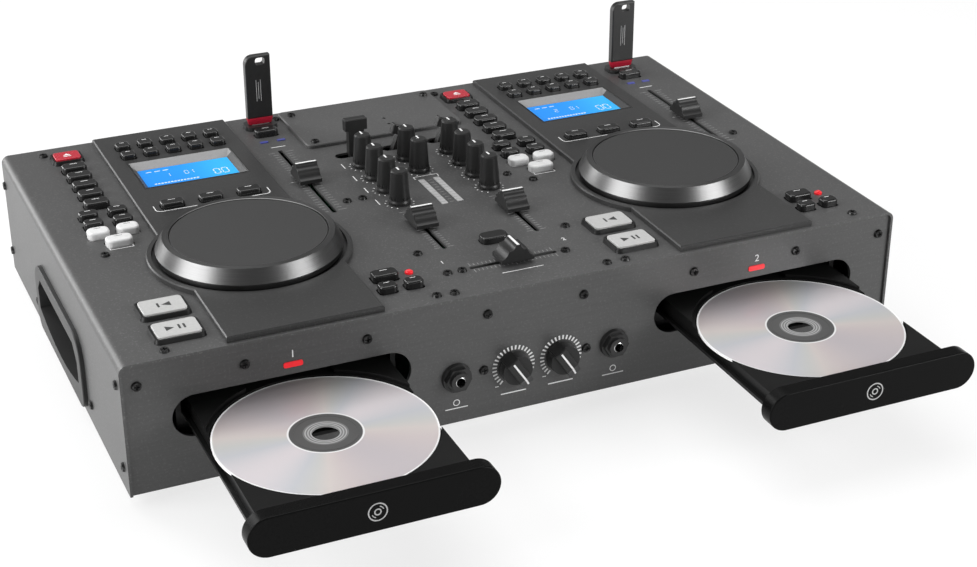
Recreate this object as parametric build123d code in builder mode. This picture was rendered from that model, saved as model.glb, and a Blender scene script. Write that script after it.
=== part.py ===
"""Dual disc player and mixer console: steel case, two disc drawers, two decks and a mixer between them.

Millimetres, +X right, +Y to the back, +Z up. Positions on the console are written from the case's
centreline (x), from the front panel (y) and from the case's underside or top (z). The drawers are
open, and the origin is at the middle of the whole object's footprint.
"""
import os

from build123d import *

os.makedirs("parts", exist_ok=True)

# ---- case -------------------------------------------------------------------------------------
case_w = 482.0          # nineteen-inch console
case_d = 308.0
case_h = 80.0
foot_h = 6.0
sheet = 1.6             # cover's steel
lip = 1.5               # the cover's edge stands this far ahead of the front panel
bend_r = 5.0            # cover's outer bend
panel_t = 2.5           # front panel
rear_t = 2.0
base_t = 1.5
seam = 0.25             # gap round the panels
rear_reach = 9.0        # how far the sockets stand off the back
tray_out = 126.5        # front of the open drawers ahead of the front panel

front = -(case_d + rear_reach - tray_out) / 2
back = front + case_d
floor = foot_h
top = floor + case_h
inner_w = case_w - 2 * sheet

# ---- decks: x of each raised plate's centre -----------------------------------------------------
deck_pitch = 275.0
deck_left = -136.45
decks = (("a", deck_left), ("b", deck_left + deck_pitch))
plate_w = 90.0
plate_front = 1.2
plate_back = 304.5
plate_t = 3.5
lobe_r = 60.0           # plate's round lobes under the jog wheel
jog_y = 102.5
jog_r = 54.7
jog_top_r = 50.1
jog_rise = 10.7         # jog wheel's rim above the plate
pad_r = 46.1
groove_r, groove_d = 56.9, 2.4      # sunk ring round the jog wheel
screen_y = 231.5
screen_w, screen_d = 60.0, 31.0
frame_w, frame_d = 67.3, 43.5
key_gap = 0.4           # clearance of a key in its hole

# ---- drawers and discs ------------------------------------------------------------------------
drawer_pitch = 291.5
drawers = (("a", -drawer_pitch / 2), ("b", drawer_pitch / 2))
disc_r = 60.0
disc_bore_r = 7.5
disc_t = 1.2
small_well_r = 40.6     # lower well for the small discs
disc_y = -50.75         # disc's centre, from the front panel, drawer open
disc_z = 43.45          # disc's underside, above the case's underside
travel = 125.5          # drawer's travel
slot_w, slot_h = 137.3, 25.6
slot_z = 41.3
bezel_w, bezel_h, bezel_t = 133.8, 22.8, 9.0
bezel_z = 41.0
tray_w = 115.0
tray_rail_w = 120.4
tray_len = 160.0
tray_top = 45.4
tray_low = 37.0
corner_w, corner_d = 32.0, 62.0     # raised back corners of the drawer
corner_y = 22.0         # their front edge, behind the disc's centre
corner_rise = 1.8

plate_z = top + plate_t
tray_front = front - tray_out + bezel_t

# ---- key positions on a deck: x from the plate's centre, y from the front, width, depth ---------
wide_keys = [(-66.1, 264.4 - 15.1 * i, 15.5, 9.5) for i in range(5)]
small_keys = [(-66.0 + sx, y, 11.7, 8.5) for sx in (-9.0, 9.0) for y in (188.2, 174.4)]
pitch_keys = [(59.4, 39.2, 15.5, 9.5), (55.4, 24.0, 10.8, 8.5), (71.2, 24.0, 10.8, 8.5)]
usb_key = [(65.4, 273.5, 15.6, 8.0)]
black_keys = wide_keys + small_keys + pitch_keys + usb_key
white_keys = [(-75.4, 161.0, 13.2, 9.7), (-57.6, 161.0, 13.2, 9.7), (-66.5, 146.2, 16.0, 9.7)]
memory_keys = [(14.9 * i - 0.6, y, 9.2, 9.0) for i in range(-2, 3) for y in (280.4, 264.6)]
memory_keys += [(24.4 * i - 0.6, 179.2, 14.6, 8.4) for i in (-1, 0, 1)]
eject_key = (-66.2, 284.6, 16.6, 12.6)
cue_key = (-66.0, 52.1, 24.6, 17.3)
play_key = (-66.0, 23.6, 24.6, 17.3)
key_h = 4.5             # black and white keys above the cover
big_key_h = 3.6
plate_key_h = 3.4       # memory keys above the plate
rim_w, rim_h = 1.8, 2.6     # black frames round the big keys
lamp_spot = (74.8, 40.2)
led_spots = ((59.8, 260.6), (71.6, 260.6))

fader_x = 64.9          # pitch fader, from the plate's centre
fader_y = 190.0
fader_slot = 108.0
stick_x, stick_y = 66.2, 289.5
stick_flange = 22.6

# ---- mixer: x from the centreline ---------------------------------------------------------------
knob_rows = [197.5, 176.2, 154.9, 133.6]
knob_col = 30.3
mix_knobs = [(-knob_col, y) for y in knob_rows] + [(0.0, y) for y in knob_rows[:2]]
mix_knobs += [(knob_col, y) for y in knob_rows]
knob_h = 22.0
knob_foot_r, knob_top_r = 6.5, 5.3
shaft_r = 3.0
channel_x = 30.0
channel_y = 91.5
channel_slot = 60.0
channel_rest = 7.0      # the caps stand this far behind the middle
cross_y = 31.6
cross_slot = 55.5
slot_gap = 3.0          # width of a fader's slot
selector_y = 218.5
selector_gap = 8.4      # width of the levers' slots
selector_x, selector_slot, selector_at = -30.7, 22.0, -27.6     # the left one slides
toggle_x = (-1.0, 30.8)                                         # the other two tip
toggle_slot, toggle_tip, toggle_pivot = 16.6, 20.0, 5.5
mix_key = (0.6, 61.0, 17.0, 10.0)
meter_x = (-5.2, 5.1)
meter_y, meter_len, meter_w = 140.5, 40.0, 4.1
name_x, name_w = 1.5, 111.0
name_front, name_back, name_t = 237.5, 303.0, 2.5

# ---- front panel: x from the centreline, z above the case's underside ---------------------------
jacks = ((-49.8, 29.6), (50.6, 29.9))
dials = ((-14.0, 28.9), (16.2, 28.9))
jack_bore_r = 3.2
window_w, window_h, window_z = 11.1, 3.3, 60.1
rear_jacks = [(x, z) for x in (-72.0, -48.0, -24.0, 0.0, 24.0, 48.0) for z in (30.0, 52.0)]
inlet_x, inlet_z, inlet_w, inlet_h = 178.0, 38.0, 28.0, 21.0

# ---- carrying handles, moulded cups in the sides ------------------------------------------------
grip_y, grip_w, grip_low, grip_high = 151.5, 121.0, 4.0, 50.0
grip_t = 2.8
grip_wall = 1.6
cup_depth = 20.0

# ---- screws: x, y (or z) of each head -----------------------------------------------------------
cover_screws = [(-215.6, 296.4), (-214.6, 133.4), (-214.0, 6.2), (-59.3, 148.6), (-58.2, 6.9),
                (-57.2, 296.9), (-49.0, 148.8), (-47.8, 61.0), (-47.9, 5.9), (-41.8, 30.4),
                (-32.7, 30.4), (32.9, 30.4), (47.8, 61.0), (47.7, 5.8), (48.9, 147.0),
                (59.5, 5.6), (60.4, 132.6), (60.6, 297.2), (216.4, 148.8), (215.8, 6.2)]
name_screws = [(-47.2, 242.6), (-46.6, 293.6), (49.6, 242.6), (50.8, 293.6)]
pin_lamps = [(9.8, 263.8), (9.3, 253.1)]
panel_screws = [(s * x, 66.0) for x in (30.2, 102.7, 172.7, 231.9) for s in (-1, 1)]
panel_screws += [(-32.8, 30.5), (32.5, 30.5)]
side_screws = [(6.9, 65.4), (7.9, 14.2), (81.5, 13.5), (224.0, 13.5), (303.8, 60.9), (303.8, 14.3)]
rear_screws = [(s * x, z) for x in (60.0, 230.0) for s in (-1, 1) for z in (8.0, 70.0)]
head_r, head_t, shank_r, shank_len = 2.9, 1.4, 1.3, 5.0

front_plane = Plane.XZ.offset(-front)      # local x = X, local y = Z, normal towards the front
rear_plane = Plane.XZ.offset(-back)


# ================================ case ===========================================================
# Steel cover: top and both sides folded from one sheet, with every opening of the controls.
with BuildPart() as top_cover:
    with BuildSketch(front_plane.offset(lip)) as outer:
        with Locations((0, floor + case_h / 2)):
            Rectangle(case_w, case_h)
        fillet(outer.vertices().group_by(Axis.Y)[-1], bend_r)
    extrude(amount=-case_d - lip)
    with BuildSketch(front_plane.offset(lip)) as inner:
        with Locations((0, floor + (case_h - sheet) / 2)):
            Rectangle(inner_w, case_h - sheet)
        fillet(inner.vertices().group_by(Axis.Y)[-1], bend_r - sheet)
    extrude(amount=-case_d - lip, mode=Mode.SUBTRACT)
    with BuildSketch(Plane.XY.offset(top - sheet - 1)):
        for deck, deck_x in decks:
            for x, y, w, d in black_keys + white_keys + [eject_key, cue_key, play_key] + memory_keys:
                with Locations((deck_x + x, front + y)):
                    RectangleRounded(w + 2 * key_gap, d + 2 * key_gap, 2.2)
            with Locations((deck_x, front + screen_y)):
                Rectangle(65.2, 36.2)
            with Locations((deck_x, front + jog_y)):
                Circle(6.0)
            with Locations((deck_x + fader_x, front + fader_y)):
                SlotOverall(fader_slot, slot_gap, rotation=90)
            with Locations((deck_x + stick_x, front + stick_y)):
                Rectangle(16.4, 9.4)
            with Locations((deck_x + lamp_spot[0], front + lamp_spot[1])):
                Circle(2.5)
            with Locations([(deck_x + x, front + y) for x, y in led_spots]):
                Rectangle(5.4, 2.4)
        with Locations([(x, front + y) for x, y in mix_knobs]):
            Circle(shaft_r + 0.6)
        with Locations((-channel_x, front + channel_y), (channel_x, front + channel_y)):
            SlotOverall(channel_slot, slot_gap, rotation=90)
        with Locations((0, front + cross_y)):
            SlotOverall(cross_slot, slot_gap)
        with Locations((selector_x, front + selector_y)):
            SlotOverall(selector_slot, selector_gap)
        with Locations([(x, front + selector_y) for x in toggle_x]):
            SlotOverall(toggle_slot, selector_gap)
        with Locations((mix_key[0], front + mix_key[1])):
            RectangleRounded(mix_key[2] + 2 * key_gap, mix_key[3] + 2 * key_gap, 4.0)
        with Locations([(x, front + meter_y) for x in meter_x]):
            Rectangle(meter_w, meter_len)
        with Locations([(x, front + y) for x, y in cover_screws + name_screws]):
            Circle(shank_r + 0.1)
    extrude(amount=sheet + 2, mode=Mode.SUBTRACT)
    with BuildSketch(Plane.YZ) as side_holes:
        with Locations((front + grip_y, floor + (grip_low + grip_high) / 2)):
            RectangleRounded(grip_w - 13.6, grip_high - grip_low - 11.0, 8.0)
        with Locations([(front + y, floor + z) for y, z in side_screws]):
            Circle(shank_r + 0.1)
    extrude(amount=case_w, both=True, mode=Mode.SUBTRACT)
top_cover.part.label = "top_cover"
export_step(top_cover.part, "parts/top_cover.step")

# Front panel, set flush inside the cover's edge, with folded-back ends for the side screws.
with BuildPart() as front_panel:
    panel_w = inner_w - 2 * seam
    panel_h = case_h - sheet - seam
    with BuildSketch(front_plane) as panel_face:
        with Locations((0, floor + panel_h / 2)):
            Rectangle(panel_w, panel_h)
        fillet(panel_face.vertices().group_by(Axis.Y)[-1], bend_r - sheet - seam)
        for deck, drawer_x in drawers:
            with Locations((drawer_x, floor + slot_z)):
                SlotOverall(slot_w, slot_h, mode=Mode.SUBTRACT)
            with Locations((drawer_x, floor + window_z)):
                RectangleRounded(window_w, window_h, 1.2, mode=Mode.SUBTRACT)
        with Locations([(x, floor + z) for x, z in jacks]):
            Circle(4.8, mode=Mode.SUBTRACT)
        with Locations([(x, floor + z) for x, z in dials]):
            Circle(shaft_r + 0.6, mode=Mode.SUBTRACT)
        with Locations([(x, floor + z) for x, z in panel_screws]):
            Circle(shank_r + 0.1, mode=Mode.SUBTRACT)
    extrude(amount=-panel_t)
    with BuildSketch(front_plane.offset(-panel_t)):
        for s in (-1, 1):
            with Locations((s * (panel_w / 2 - 0.75), floor + panel_h / 2 - 1)):
                Rectangle(1.5, panel_h - 12)
    extrude(amount=-10)
    with BuildSketch(Plane.YZ):
        with Locations([(front + y, floor + z) for y, z in side_screws[:2]]):
            Circle(shank_r + 0.1)
    extrude(amount=case_w, both=True, mode=Mode.SUBTRACT)
front_panel.part.label = "front_panel"
export_step(front_panel.part, "parts/front_panel.step")

# Rear panel with the socket holes and two rows of vents.
with BuildPart() as rear_panel:
    with BuildSketch(rear_plane) as rear_face:
        with Locations((0, floor + panel_h / 2)):
            Rectangle(panel_w, panel_h)
        fillet(rear_face.vertices().group_by(Axis.Y)[-1], bend_r - sheet - seam)
        with Locations([(x, floor + z) for x, z in rear_jacks]):
            Circle(4.4, mode=Mode.SUBTRACT)
        with Locations((inlet_x, floor + inlet_z)):
            Rectangle(inlet_w, inlet_h, mode=Mode.SUBTRACT)
        with Locations((-160, floor + 45)):
            with GridLocations(9, 26, 10, 2):
                SlotOverall(20, 3.5, rotation=90, mode=Mode.SUBTRACT)
        with Locations([(x, floor + z) for x, z in rear_screws]):
            Circle(shank_r + 0.1, mode=Mode.SUBTRACT)
    extrude(amount=rear_t)
    with BuildSketch(rear_plane.offset(rear_t)):
        for s in (-1, 1):
            with Locations((s * (panel_w / 2 - 0.75), floor + panel_h / 2 - 1)):
                Rectangle(1.5, panel_h - 12)
    extrude(amount=10)
    with BuildSketch(Plane.YZ):
        with Locations([(front + y, floor + z) for y, z in side_screws[-2:]]):
            Circle(shank_r + 0.1)
    extrude(amount=case_w, both=True, mode=Mode.SUBTRACT)
rear_panel.part.label = "rear_panel"
export_step(rear_panel.part, "parts/rear_panel.step")

# Base pan: floor sheet, four folded-up tabs inside the cover's sides, and vents under the drives.
with BuildPart() as base_plate:
    base_y0 = front + panel_t + seam
    base_y1 = back - rear_t - seam
    with BuildSketch(Plane.XY.offset(floor)):
        with Locations((0, (base_y0 + base_y1) / 2)):
            Rectangle(inner_w - 2 * seam, base_y1 - base_y0)
        for deck, drawer_x in drawers:
            with Locations((drawer_x, front + 215)):
                with GridLocations(9, 1, 8, 1):
                    SlotOverall(44, 4, rotation=90, mode=Mode.SUBTRACT)
    extrude(amount=base_t)
    tab_x = inner_w / 2 - seam - 0.75
    with BuildSketch(Plane.XY.offset(floor + base_t)):
        for s in (-1, 1):
            with Locations((s * tab_x, front + 51), (s * tab_x, front + 253)):
                Rectangle(1.5, 72)
    extrude(amount=17)
    with BuildSketch(Plane.YZ):
        with Locations([(front + y, floor + z) for y, z in side_screws[2:4]]):
            Circle(shank_r + 0.1)
    extrude(amount=case_w, both=True, mode=Mode.SUBTRACT)
base_plate.part.label = "base_plate"
export_step(base_plate.part, "parts/base_plate.step")

# Rubber feet under the base.
with BuildPart() as rubber_feet:
    with BuildSketch(Plane.XY):
        with Locations([(x, front + y) for x in (-222, -46, 46, 222) for y in (19, 289)]):
            Circle(8.0)
    extrude(amount=foot_h, taper=-6)
    fillet(rubber_feet.faces().sort_by(Axis.Z)[:8].edges(), 1.0)
rubber_feet.part.label = "rubber_feet"
export_step(rubber_feet.part, "parts/rubber_feet.step")

# Moulded grips: a proud rim round each side opening, with a finger cup behind it.
with BuildPart() as side_grips:
    grip_mid = floor + (grip_low + grip_high) / 2
    with BuildSketch(Plane.YZ.offset(case_w / 2)) as rim:
        with Locations((front + grip_y, grip_mid)):
            Rectangle(grip_w, grip_high - grip_low)
        fillet(rim.vertices().group_by(Axis.Y)[-1], 17.0)
        fillet(rim.vertices().group_by(Axis.Y)[0], 9.0)
    extrude(amount=grip_t)
    fillet(side_grips.faces().sort_by(Axis.X)[-1].edges(), 0.8)
    with BuildSketch(Plane.YZ.offset(case_w / 2)):
        with Locations((front + grip_y, grip_mid)):
            RectangleRounded(grip_w - 14, grip_high - grip_low - 11.4, 7.8)
    extrude(amount=-cup_depth)
    with BuildSketch(Plane.YZ.offset(case_w / 2 + grip_t)):
        with BuildLine():
            half = grip_w / 2 - 7 - grip_wall
            y0 = front + grip_y
            Polyline((y0 - half, floor + 19), (y0 - half, floor + 33), (y0 - half + 8, floor + 41.5),
                     (y0 + half - 8, floor + 41.5), (y0 + half, floor + 33), (y0 + half, floor + 19))
            ThreePointArc((y0 + half, floor + 19), (y0, floor + 11.6), (y0 - half, floor + 19))
        make_face()
    extrude(amount=-(cup_depth + grip_t - grip_wall), mode=Mode.SUBTRACT)
    mirror(about=Plane.YZ)
side_grips.part.label = "side_grips"
export_step(side_grips.part, "parts/side_grips.step")

# Cross-head screws: cover, name plate, front panel, sides and back.
right_plane = Plane.YZ.offset(case_w / 2)
left_plane = Plane((-case_w / 2, 0, 0), x_dir=(0, -1, 0), z_dir=(-1, 0, 0))
behind_plane = Plane((0, back, 0), x_dir=(-1, 0, 0), z_dir=(0, 1, 0))
heads = [(Plane.XY.offset(top), [(x, front + y) for x, y in cover_screws]),
         (Plane.XY.offset(top + name_t), [(x, front + y) for x, y in name_screws]),
         (front_plane, [(x, floor + z) for x, z in panel_screws]),
         (behind_plane, [(-x, floor + z) for x, z in rear_screws]),
         (right_plane, [(front + y, floor + z) for y, z in side_screws]),
         (left_plane, [(-front - y, floor + z) for y, z in side_screws])]
with BuildPart() as screws:
    for face, places in heads:
        with BuildSketch(face):
            with Locations(places):
                Circle(head_r)
        extrude(amount=head_t, taper=18)
        with BuildSketch(face):
            with Locations(places):
                Circle(shank_r)
        extrude(amount=-shank_len)
        with BuildSketch(face.offset(head_t)):
            with Locations(places):
                Rectangle(3.2, 0.8)
                Rectangle(0.8, 3.2)
        extrude(amount=-1.0, mode=Mode.SUBTRACT)
screws.part.label = "screws"
export_step(screws.part, "parts/screws.step")

# ================================ deck top plates and screens ====================================
# Raised plates, widened by a round lobe under each jog wheel, with a bevelled window.
with BuildPart() as deck_plates:
    for deck, deck_x in decks:
        plate_mid = front + (plate_front + plate_back) / 2
        with BuildSketch(Plane.XY.offset(top)):
            with Locations((deck_x, plate_mid)):
                Rectangle(plate_w, plate_back - plate_front)
            with Locations((deck_x, front + jog_y)):
                Circle(lobe_r)
        extrude(amount=plate_t)
    chamfer(deck_plates.faces().filter_by(Axis.Z).group_by(Axis.Z)[-1].edges(), 0.7)
    for deck, deck_x in decks:
        with BuildSketch(Plane.XY.offset(top)):
            for x, y, w, d in memory_keys:
                with Locations((deck_x + x, front + y)):
                    RectangleRounded(w + 2 * key_gap, d + 2 * key_gap, 2.2)
        extrude(amount=plate_t, mode=Mode.SUBTRACT)
        with BuildSketch(Plane.XY.offset(plate_z - groove_d)):
            with Locations((deck_x, front + jog_y)):
                Circle(groove_r)
        extrude(amount=groove_d, mode=Mode.SUBTRACT)
        with BuildSketch(Plane.XY.offset(top)):
            with Locations((deck_x, front + jog_y)):
                Circle(6.0)
        extrude(amount=plate_t, mode=Mode.SUBTRACT)
        with BuildSketch(Plane.XY.offset(top)):
            with Locations((deck_x, front + screen_y)):
                Rectangle(screen_w, screen_d)
        with BuildSketch(Plane.XY.offset(plate_z)):
            with Locations((deck_x, front + screen_y + 1.2)):
                Rectangle(frame_w, frame_d)
        loft(mode=Mode.SUBTRACT)
deck_plates.part.label = "deck_plates"
export_step(deck_plates.part, "parts/deck_plates.step")

# Display glasses, held under the plates' windows.
with BuildPart() as lcd_panels:
    for deck, deck_x in decks:
        with BuildSketch(Plane.XY.offset(top - 3.0)):
            with Locations((deck_x, front + screen_y)):
                Rectangle(64.6, 35.6)
        extrude(amount=3.0)
lcd_panels.part.label = "lcd_panels"
export_step(lcd_panels.part, "parts/lcd_panels.step")

# Name plate across the back of the mixer.
with BuildPart() as name_plate:
    with BuildSketch(Plane.XY.offset(top)):
        with Locations((name_x, front + (name_front + name_back) / 2)):
            RectangleRounded(name_w, name_back - name_front, 4.0)
    extrude(amount=name_t)
    chamfer(name_plate.faces().sort_by(Axis.Z)[-1].edges(), 0.6)
    with BuildSketch(Plane.XY.offset(top)):
        with Locations([(x, front + y) for x, y in name_screws]):
            Circle(shank_r + 0.1)
        with Locations([(x, front + y) for x, y in pin_lamps]):
            Circle(1.2)
    extrude(amount=name_t, mode=Mode.SUBTRACT)
name_plate.part.label = "name_plate"
export_step(name_plate.part, "parts/name_plate.step")

# Black frames round the eject, cue and play keys.
with BuildPart() as key_frames:
    for deck, deck_x in decks:
        for x, y, w, d in (eject_key, cue_key, play_key):
            with BuildSketch(Plane.XY.offset(top)):
                with Locations((deck_x + x, front + y)):
                    RectangleRounded(w + 2 * key_gap + 2 * rim_w, d + 2 * key_gap + 2 * rim_w, 3.6)
            extrude(amount=rim_h, taper=16)
            with BuildSketch(Plane.XY.offset(top)):
                with Locations((deck_x + x, front + y)):
                    RectangleRounded(w + 2 * key_gap, d + 2 * key_gap, 2.2)
            extrude(amount=rim_h, mode=Mode.SUBTRACT)
key_frames.part.label = "key_frames"
export_step(key_frames.part, "parts/key_frames.step")

# Level meter bars, lamps and the drawers' indicator windows.
with BuildPart() as indicator_lenses:
    with BuildSketch(Plane.XY.offset(top - sheet)):
        with Locations([(x, front + meter_y) for x in meter_x]):
            Rectangle(meter_w - 0.1, meter_len - 0.1)
    extrude(amount=sheet + 0.5)
    for deck, deck_x in decks:
        with BuildSketch(Plane.XY.offset(top - sheet)):
            with Locations((deck_x + lamp_spot[0], front + lamp_spot[1])):
                Circle(2.4)
        extrude(amount=sheet + 1.0)
        with Locations((deck_x + lamp_spot[0], front + lamp_spot[1], top + 1.0)):
            Sphere(2.4, arc_size1=0)
        with BuildSketch(Plane.XY.offset(top - sheet)):
            with Locations([(deck_x + x, front + y) for x, y in led_spots]):
                Rectangle(5.3, 2.3)
        extrude(amount=sheet + 0.6)
    for deck, drawer_x in drawers:
        with BuildSketch(front_plane.offset(0.5)):
            with Locations((drawer_x, floor + window_z)):
                RectangleRounded(window_w - 0.1, window_h - 0.1, 1.1)
        extrude(amount=-panel_t)
indicator_lenses.part.label = "indicator_lenses"
export_step(indicator_lenses.part, "parts/indicator_lenses.step")

# ================================ sockets ========================================================
# Front jack sockets, memory-stick sockets, rear phono sockets and the mains inlet.
with BuildPart() as sockets:
    for x, z in jacks:
        with BuildSketch(front_plane):
            with Locations((x, floor + z)):
                Circle(9.2)
        extrude(amount=2.2, taper=12)
        with BuildSketch(front_plane.offset(2.2)):
            with Locations((x, floor + z)):
                RegularPolygon(7.9, 6)
        extrude(amount=2.6)
        with BuildSketch(front_plane.offset(4.8)):
            with Locations((x, floor + z)):
                Circle(5.6)
        extrude(amount=2.0)
        with BuildSketch(front_plane):
            with Locations((x, floor + z)):
                Circle(4.7)
        extrude(amount=-panel_t)
        with BuildSketch(front_plane.offset(-panel_t)):
            with Locations((x, floor + z)):
                Rectangle(17, 19)
        extrude(amount=-26)
        with BuildSketch(front_plane.offset(7)):
            with Locations((x, floor + z)):
                Circle(jack_bore_r)
        extrude(amount=-32, mode=Mode.SUBTRACT)
    for deck, deck_x in decks:
        ux, uy = deck_x + stick_x, front + stick_y
        with BuildSketch(Plane.XY.offset(top)):
            with Locations((ux, uy)):
                RectangleRounded(stick_flange, 14.4, 4.5)
        extrude(amount=2.6, taper=14)
        with BuildSketch(Plane.XY.offset(top - 14)):
            with Locations((ux, uy)):
                Rectangle(16.0, 9.0)
        extrude(amount=14)
        with BuildSketch(Plane.XY.offset(top + 3)):
            with Locations((ux, uy)):
                Rectangle(12.5, 5.0)
        extrude(amount=-15, mode=Mode.SUBTRACT)
    for x, z in rear_jacks:
        with BuildSketch(rear_plane.offset(rear_t)):
            with Locations((x, floor + z)):
                Circle(4.2)
        extrude(amount=-(rear_t + rear_reach))
        with BuildSketch(rear_plane):
            with Locations((x, floor + z)):
                Circle(6.2)
        extrude(amount=-1.2)
    with BuildSketch(rear_plane.offset(rear_t + 0.1)):
        with Locations((-12, floor + 41)):
            Rectangle(138, 38)
    extrude(amount=14)
    for x, z in rear_jacks:
        with BuildSketch(rear_plane.offset(-rear_reach)):
            with Locations((x, floor + z)):
                Circle(1.7)
        extrude(amount=9, mode=Mode.SUBTRACT)
    with BuildSketch(rear_plane):
        with Locations((inlet_x, floor + inlet_z)):
            Rectangle(inlet_w + 14, inlet_h + 5)
            Rectangle(24.2, 16.6, mode=Mode.SUBTRACT)
    extrude(amount=-2.4)
    with BuildSketch(rear_plane):
        with Locations((inlet_x, floor + inlet_z)):
            Rectangle(inlet_w - 0.2, inlet_h - 0.2)
            Rectangle(24.2, 16.6, mode=Mode.SUBTRACT)
    extrude(amount=20)
    with BuildSketch(rear_plane.offset(20)):
        with Locations((inlet_x, floor + inlet_z)):
            Rectangle(inlet_w - 0.2, inlet_h - 0.2)
    extrude(amount=2)
    with BuildSketch(rear_plane.offset(20)):
        with Locations((inlet_x - 7, floor + inlet_z - 2), (inlet_x + 7, floor + inlet_z - 2),
                       (inlet_x, floor + inlet_z + 3)):
            Rectangle(2, 4.5)
    extrude(amount=-14)
sockets.part.label = "sockets"
export_step(sockets.part, "parts/sockets.step")

# ================================ inside the case ================================================
# Control board under the top, and the supply board with its transformer on the base.
with BuildPart() as circuit_boards:
    board_z = floor + 60.0
    with BuildSketch(Plane.XY.offset(board_z)):
        with Locations((0, front + 155)):
            Rectangle(466, 276)
    extrude(amount=1.6)
    with BuildSketch(Plane.XY.offset(board_z + 1.6)):
        with Locations([(x, front + y) for x, y in mix_knobs]):
            Rectangle(11, 11)
        for deck, deck_x in decks:
            with Locations((deck_x + fader_x, front + fader_y)):
                Rectangle(12, 120)
            with Locations((deck_x, front + jog_y)):
                Rectangle(24, 24)
        with Locations((-channel_x, front + channel_y), (channel_x, front + channel_y)):
            Rectangle(10, 62)
        with Locations((0, front + cross_y)):
            Rectangle(58, 10)
    extrude(amount=5.0)
    with BuildSketch(Plane.XY.offset(floor + 8)):
        with Locations((0, front + 205)):
            Rectangle(120, 120)
    extrude(amount=1.6)
    with BuildSketch(Plane.XY.offset(floor + base_t)):
        with Locations((0, front + 205)):
            with GridLocations(106, 106, 2, 2):
                Circle(3)
    extrude(amount=8 - base_t)
    with BuildSketch(Plane.XY.offset(floor + 9.6)):
        with Locations((0, front + 190)):
            Rectangle(58, 46)
    extrude(amount=38)
    with BuildSketch(Plane.XY.offset(floor + 9.6)):
        with Locations((-34, front + 240), (-10, front + 240), (20, front + 240)):
            Circle(8)
    extrude(amount=24)
    with BuildSketch(Plane.XY.offset(floor + 9.6)):
        with Locations((-56, front + 150), (56, front + 150)):
            Circle(2.6)
    extrude(amount=board_z - floor - 9.6)
circuit_boards.part.label = "circuit_boards"
export_step(circuit_boards.part, "parts/circuit_boards.step")

# Disc drives, each of plain pieces screwed together: bed, legs, side walls, ledges for the drawer's
# runners, clamp bridge with its puck, motor, spindle, and laser block on two rods.
with BuildPart() as drive_frames:
    rail_x = tray_rail_w / 2 + 0.5
    home_y = front + disc_y + travel
    apart = 0.1         # between neighbouring pieces
    bed_y0, bed_y1 = front + 12, front + 196
    bed_mid, bed_len = (bed_y0 + bed_y1) / 2, bed_y1 - bed_y0
    bed_z, bed_t = floor + 28, 2.0
    bed_top = bed_z + bed_t
    bridge_z = floor + 55
    for deck, drawer_x in drawers:
        with BuildSketch(Plane.XY.offset(bed_z)):
            with Locations((drawer_x, bed_mid)):
                Rectangle(2 * rail_x + 6, bed_len)
            with Locations((drawer_x + 22, home_y)):
                Rectangle(56, 24, mode=Mode.SUBTRACT)
        extrude(amount=bed_t)
        with BuildSketch(Plane.XY.offset(floor + base_t)):
            for s in (-1, 1):
                with Locations((drawer_x + s * 58, bed_y0 + 8), (drawer_x + s * 58, bed_y1 - 8)):
                    Circle(4)
        extrude(amount=bed_z - floor - base_t - apart)
        with BuildSketch(Plane.XY.offset(bed_top + apart)):
            for s in (-1, 1):
                with Locations((drawer_x + s * (rail_x + 1.5), bed_mid)):
                    Rectangle(3, bed_len)
        extrude(amount=27)
        with BuildSketch(Plane.XY.offset(bed_top + apart)):
            for s in (-1, 1):
                with Locations((drawer_x + s * (rail_x - 3 - apart), bed_mid)):
                    Rectangle(6, bed_len)
        extrude(amount=floor + tray_low - 0.2 - bed_top - apart)
        with BuildSketch(Plane.XY.offset(bridge_z)):
            with Locations((drawer_x, home_y)):
                Rectangle(2 * (rail_x - apart), 30)
        extrude(amount=2)
        with BuildSketch(Plane.XY.offset(bridge_z - apart)):
            with Locations((drawer_x, home_y)):
                Circle(14)
        extrude(amount=-7.4)
        with BuildSketch(Plane.XY.offset(bed_z - apart)):
            with Locations((drawer_x, home_y)):
                Circle(12.5)
        extrude(amount=-10)
        with BuildSketch(Plane.XY.offset(bed_top + apart)):
            with Locations((drawer_x, home_y)):
                Circle(5.0)
        extrude(amount=6.3)
        with BuildSketch(Plane.XY.offset(bed_z)):
            with Locations((drawer_x + 36, home_y)):
                Rectangle(20, 22)
        extrude(amount=6)
        with BuildSketch(Plane.XY.offset(bed_z - apart)):
            with Locations((drawer_x + 33.5, home_y - 10), (drawer_x + 33.5, home_y + 10)):
                Rectangle(40, 4)
        extrude(amount=-3)
drive_frames.part.label = "drive_frames"
export_step(drive_frames.part, "parts/drive_frames.step")

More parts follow.
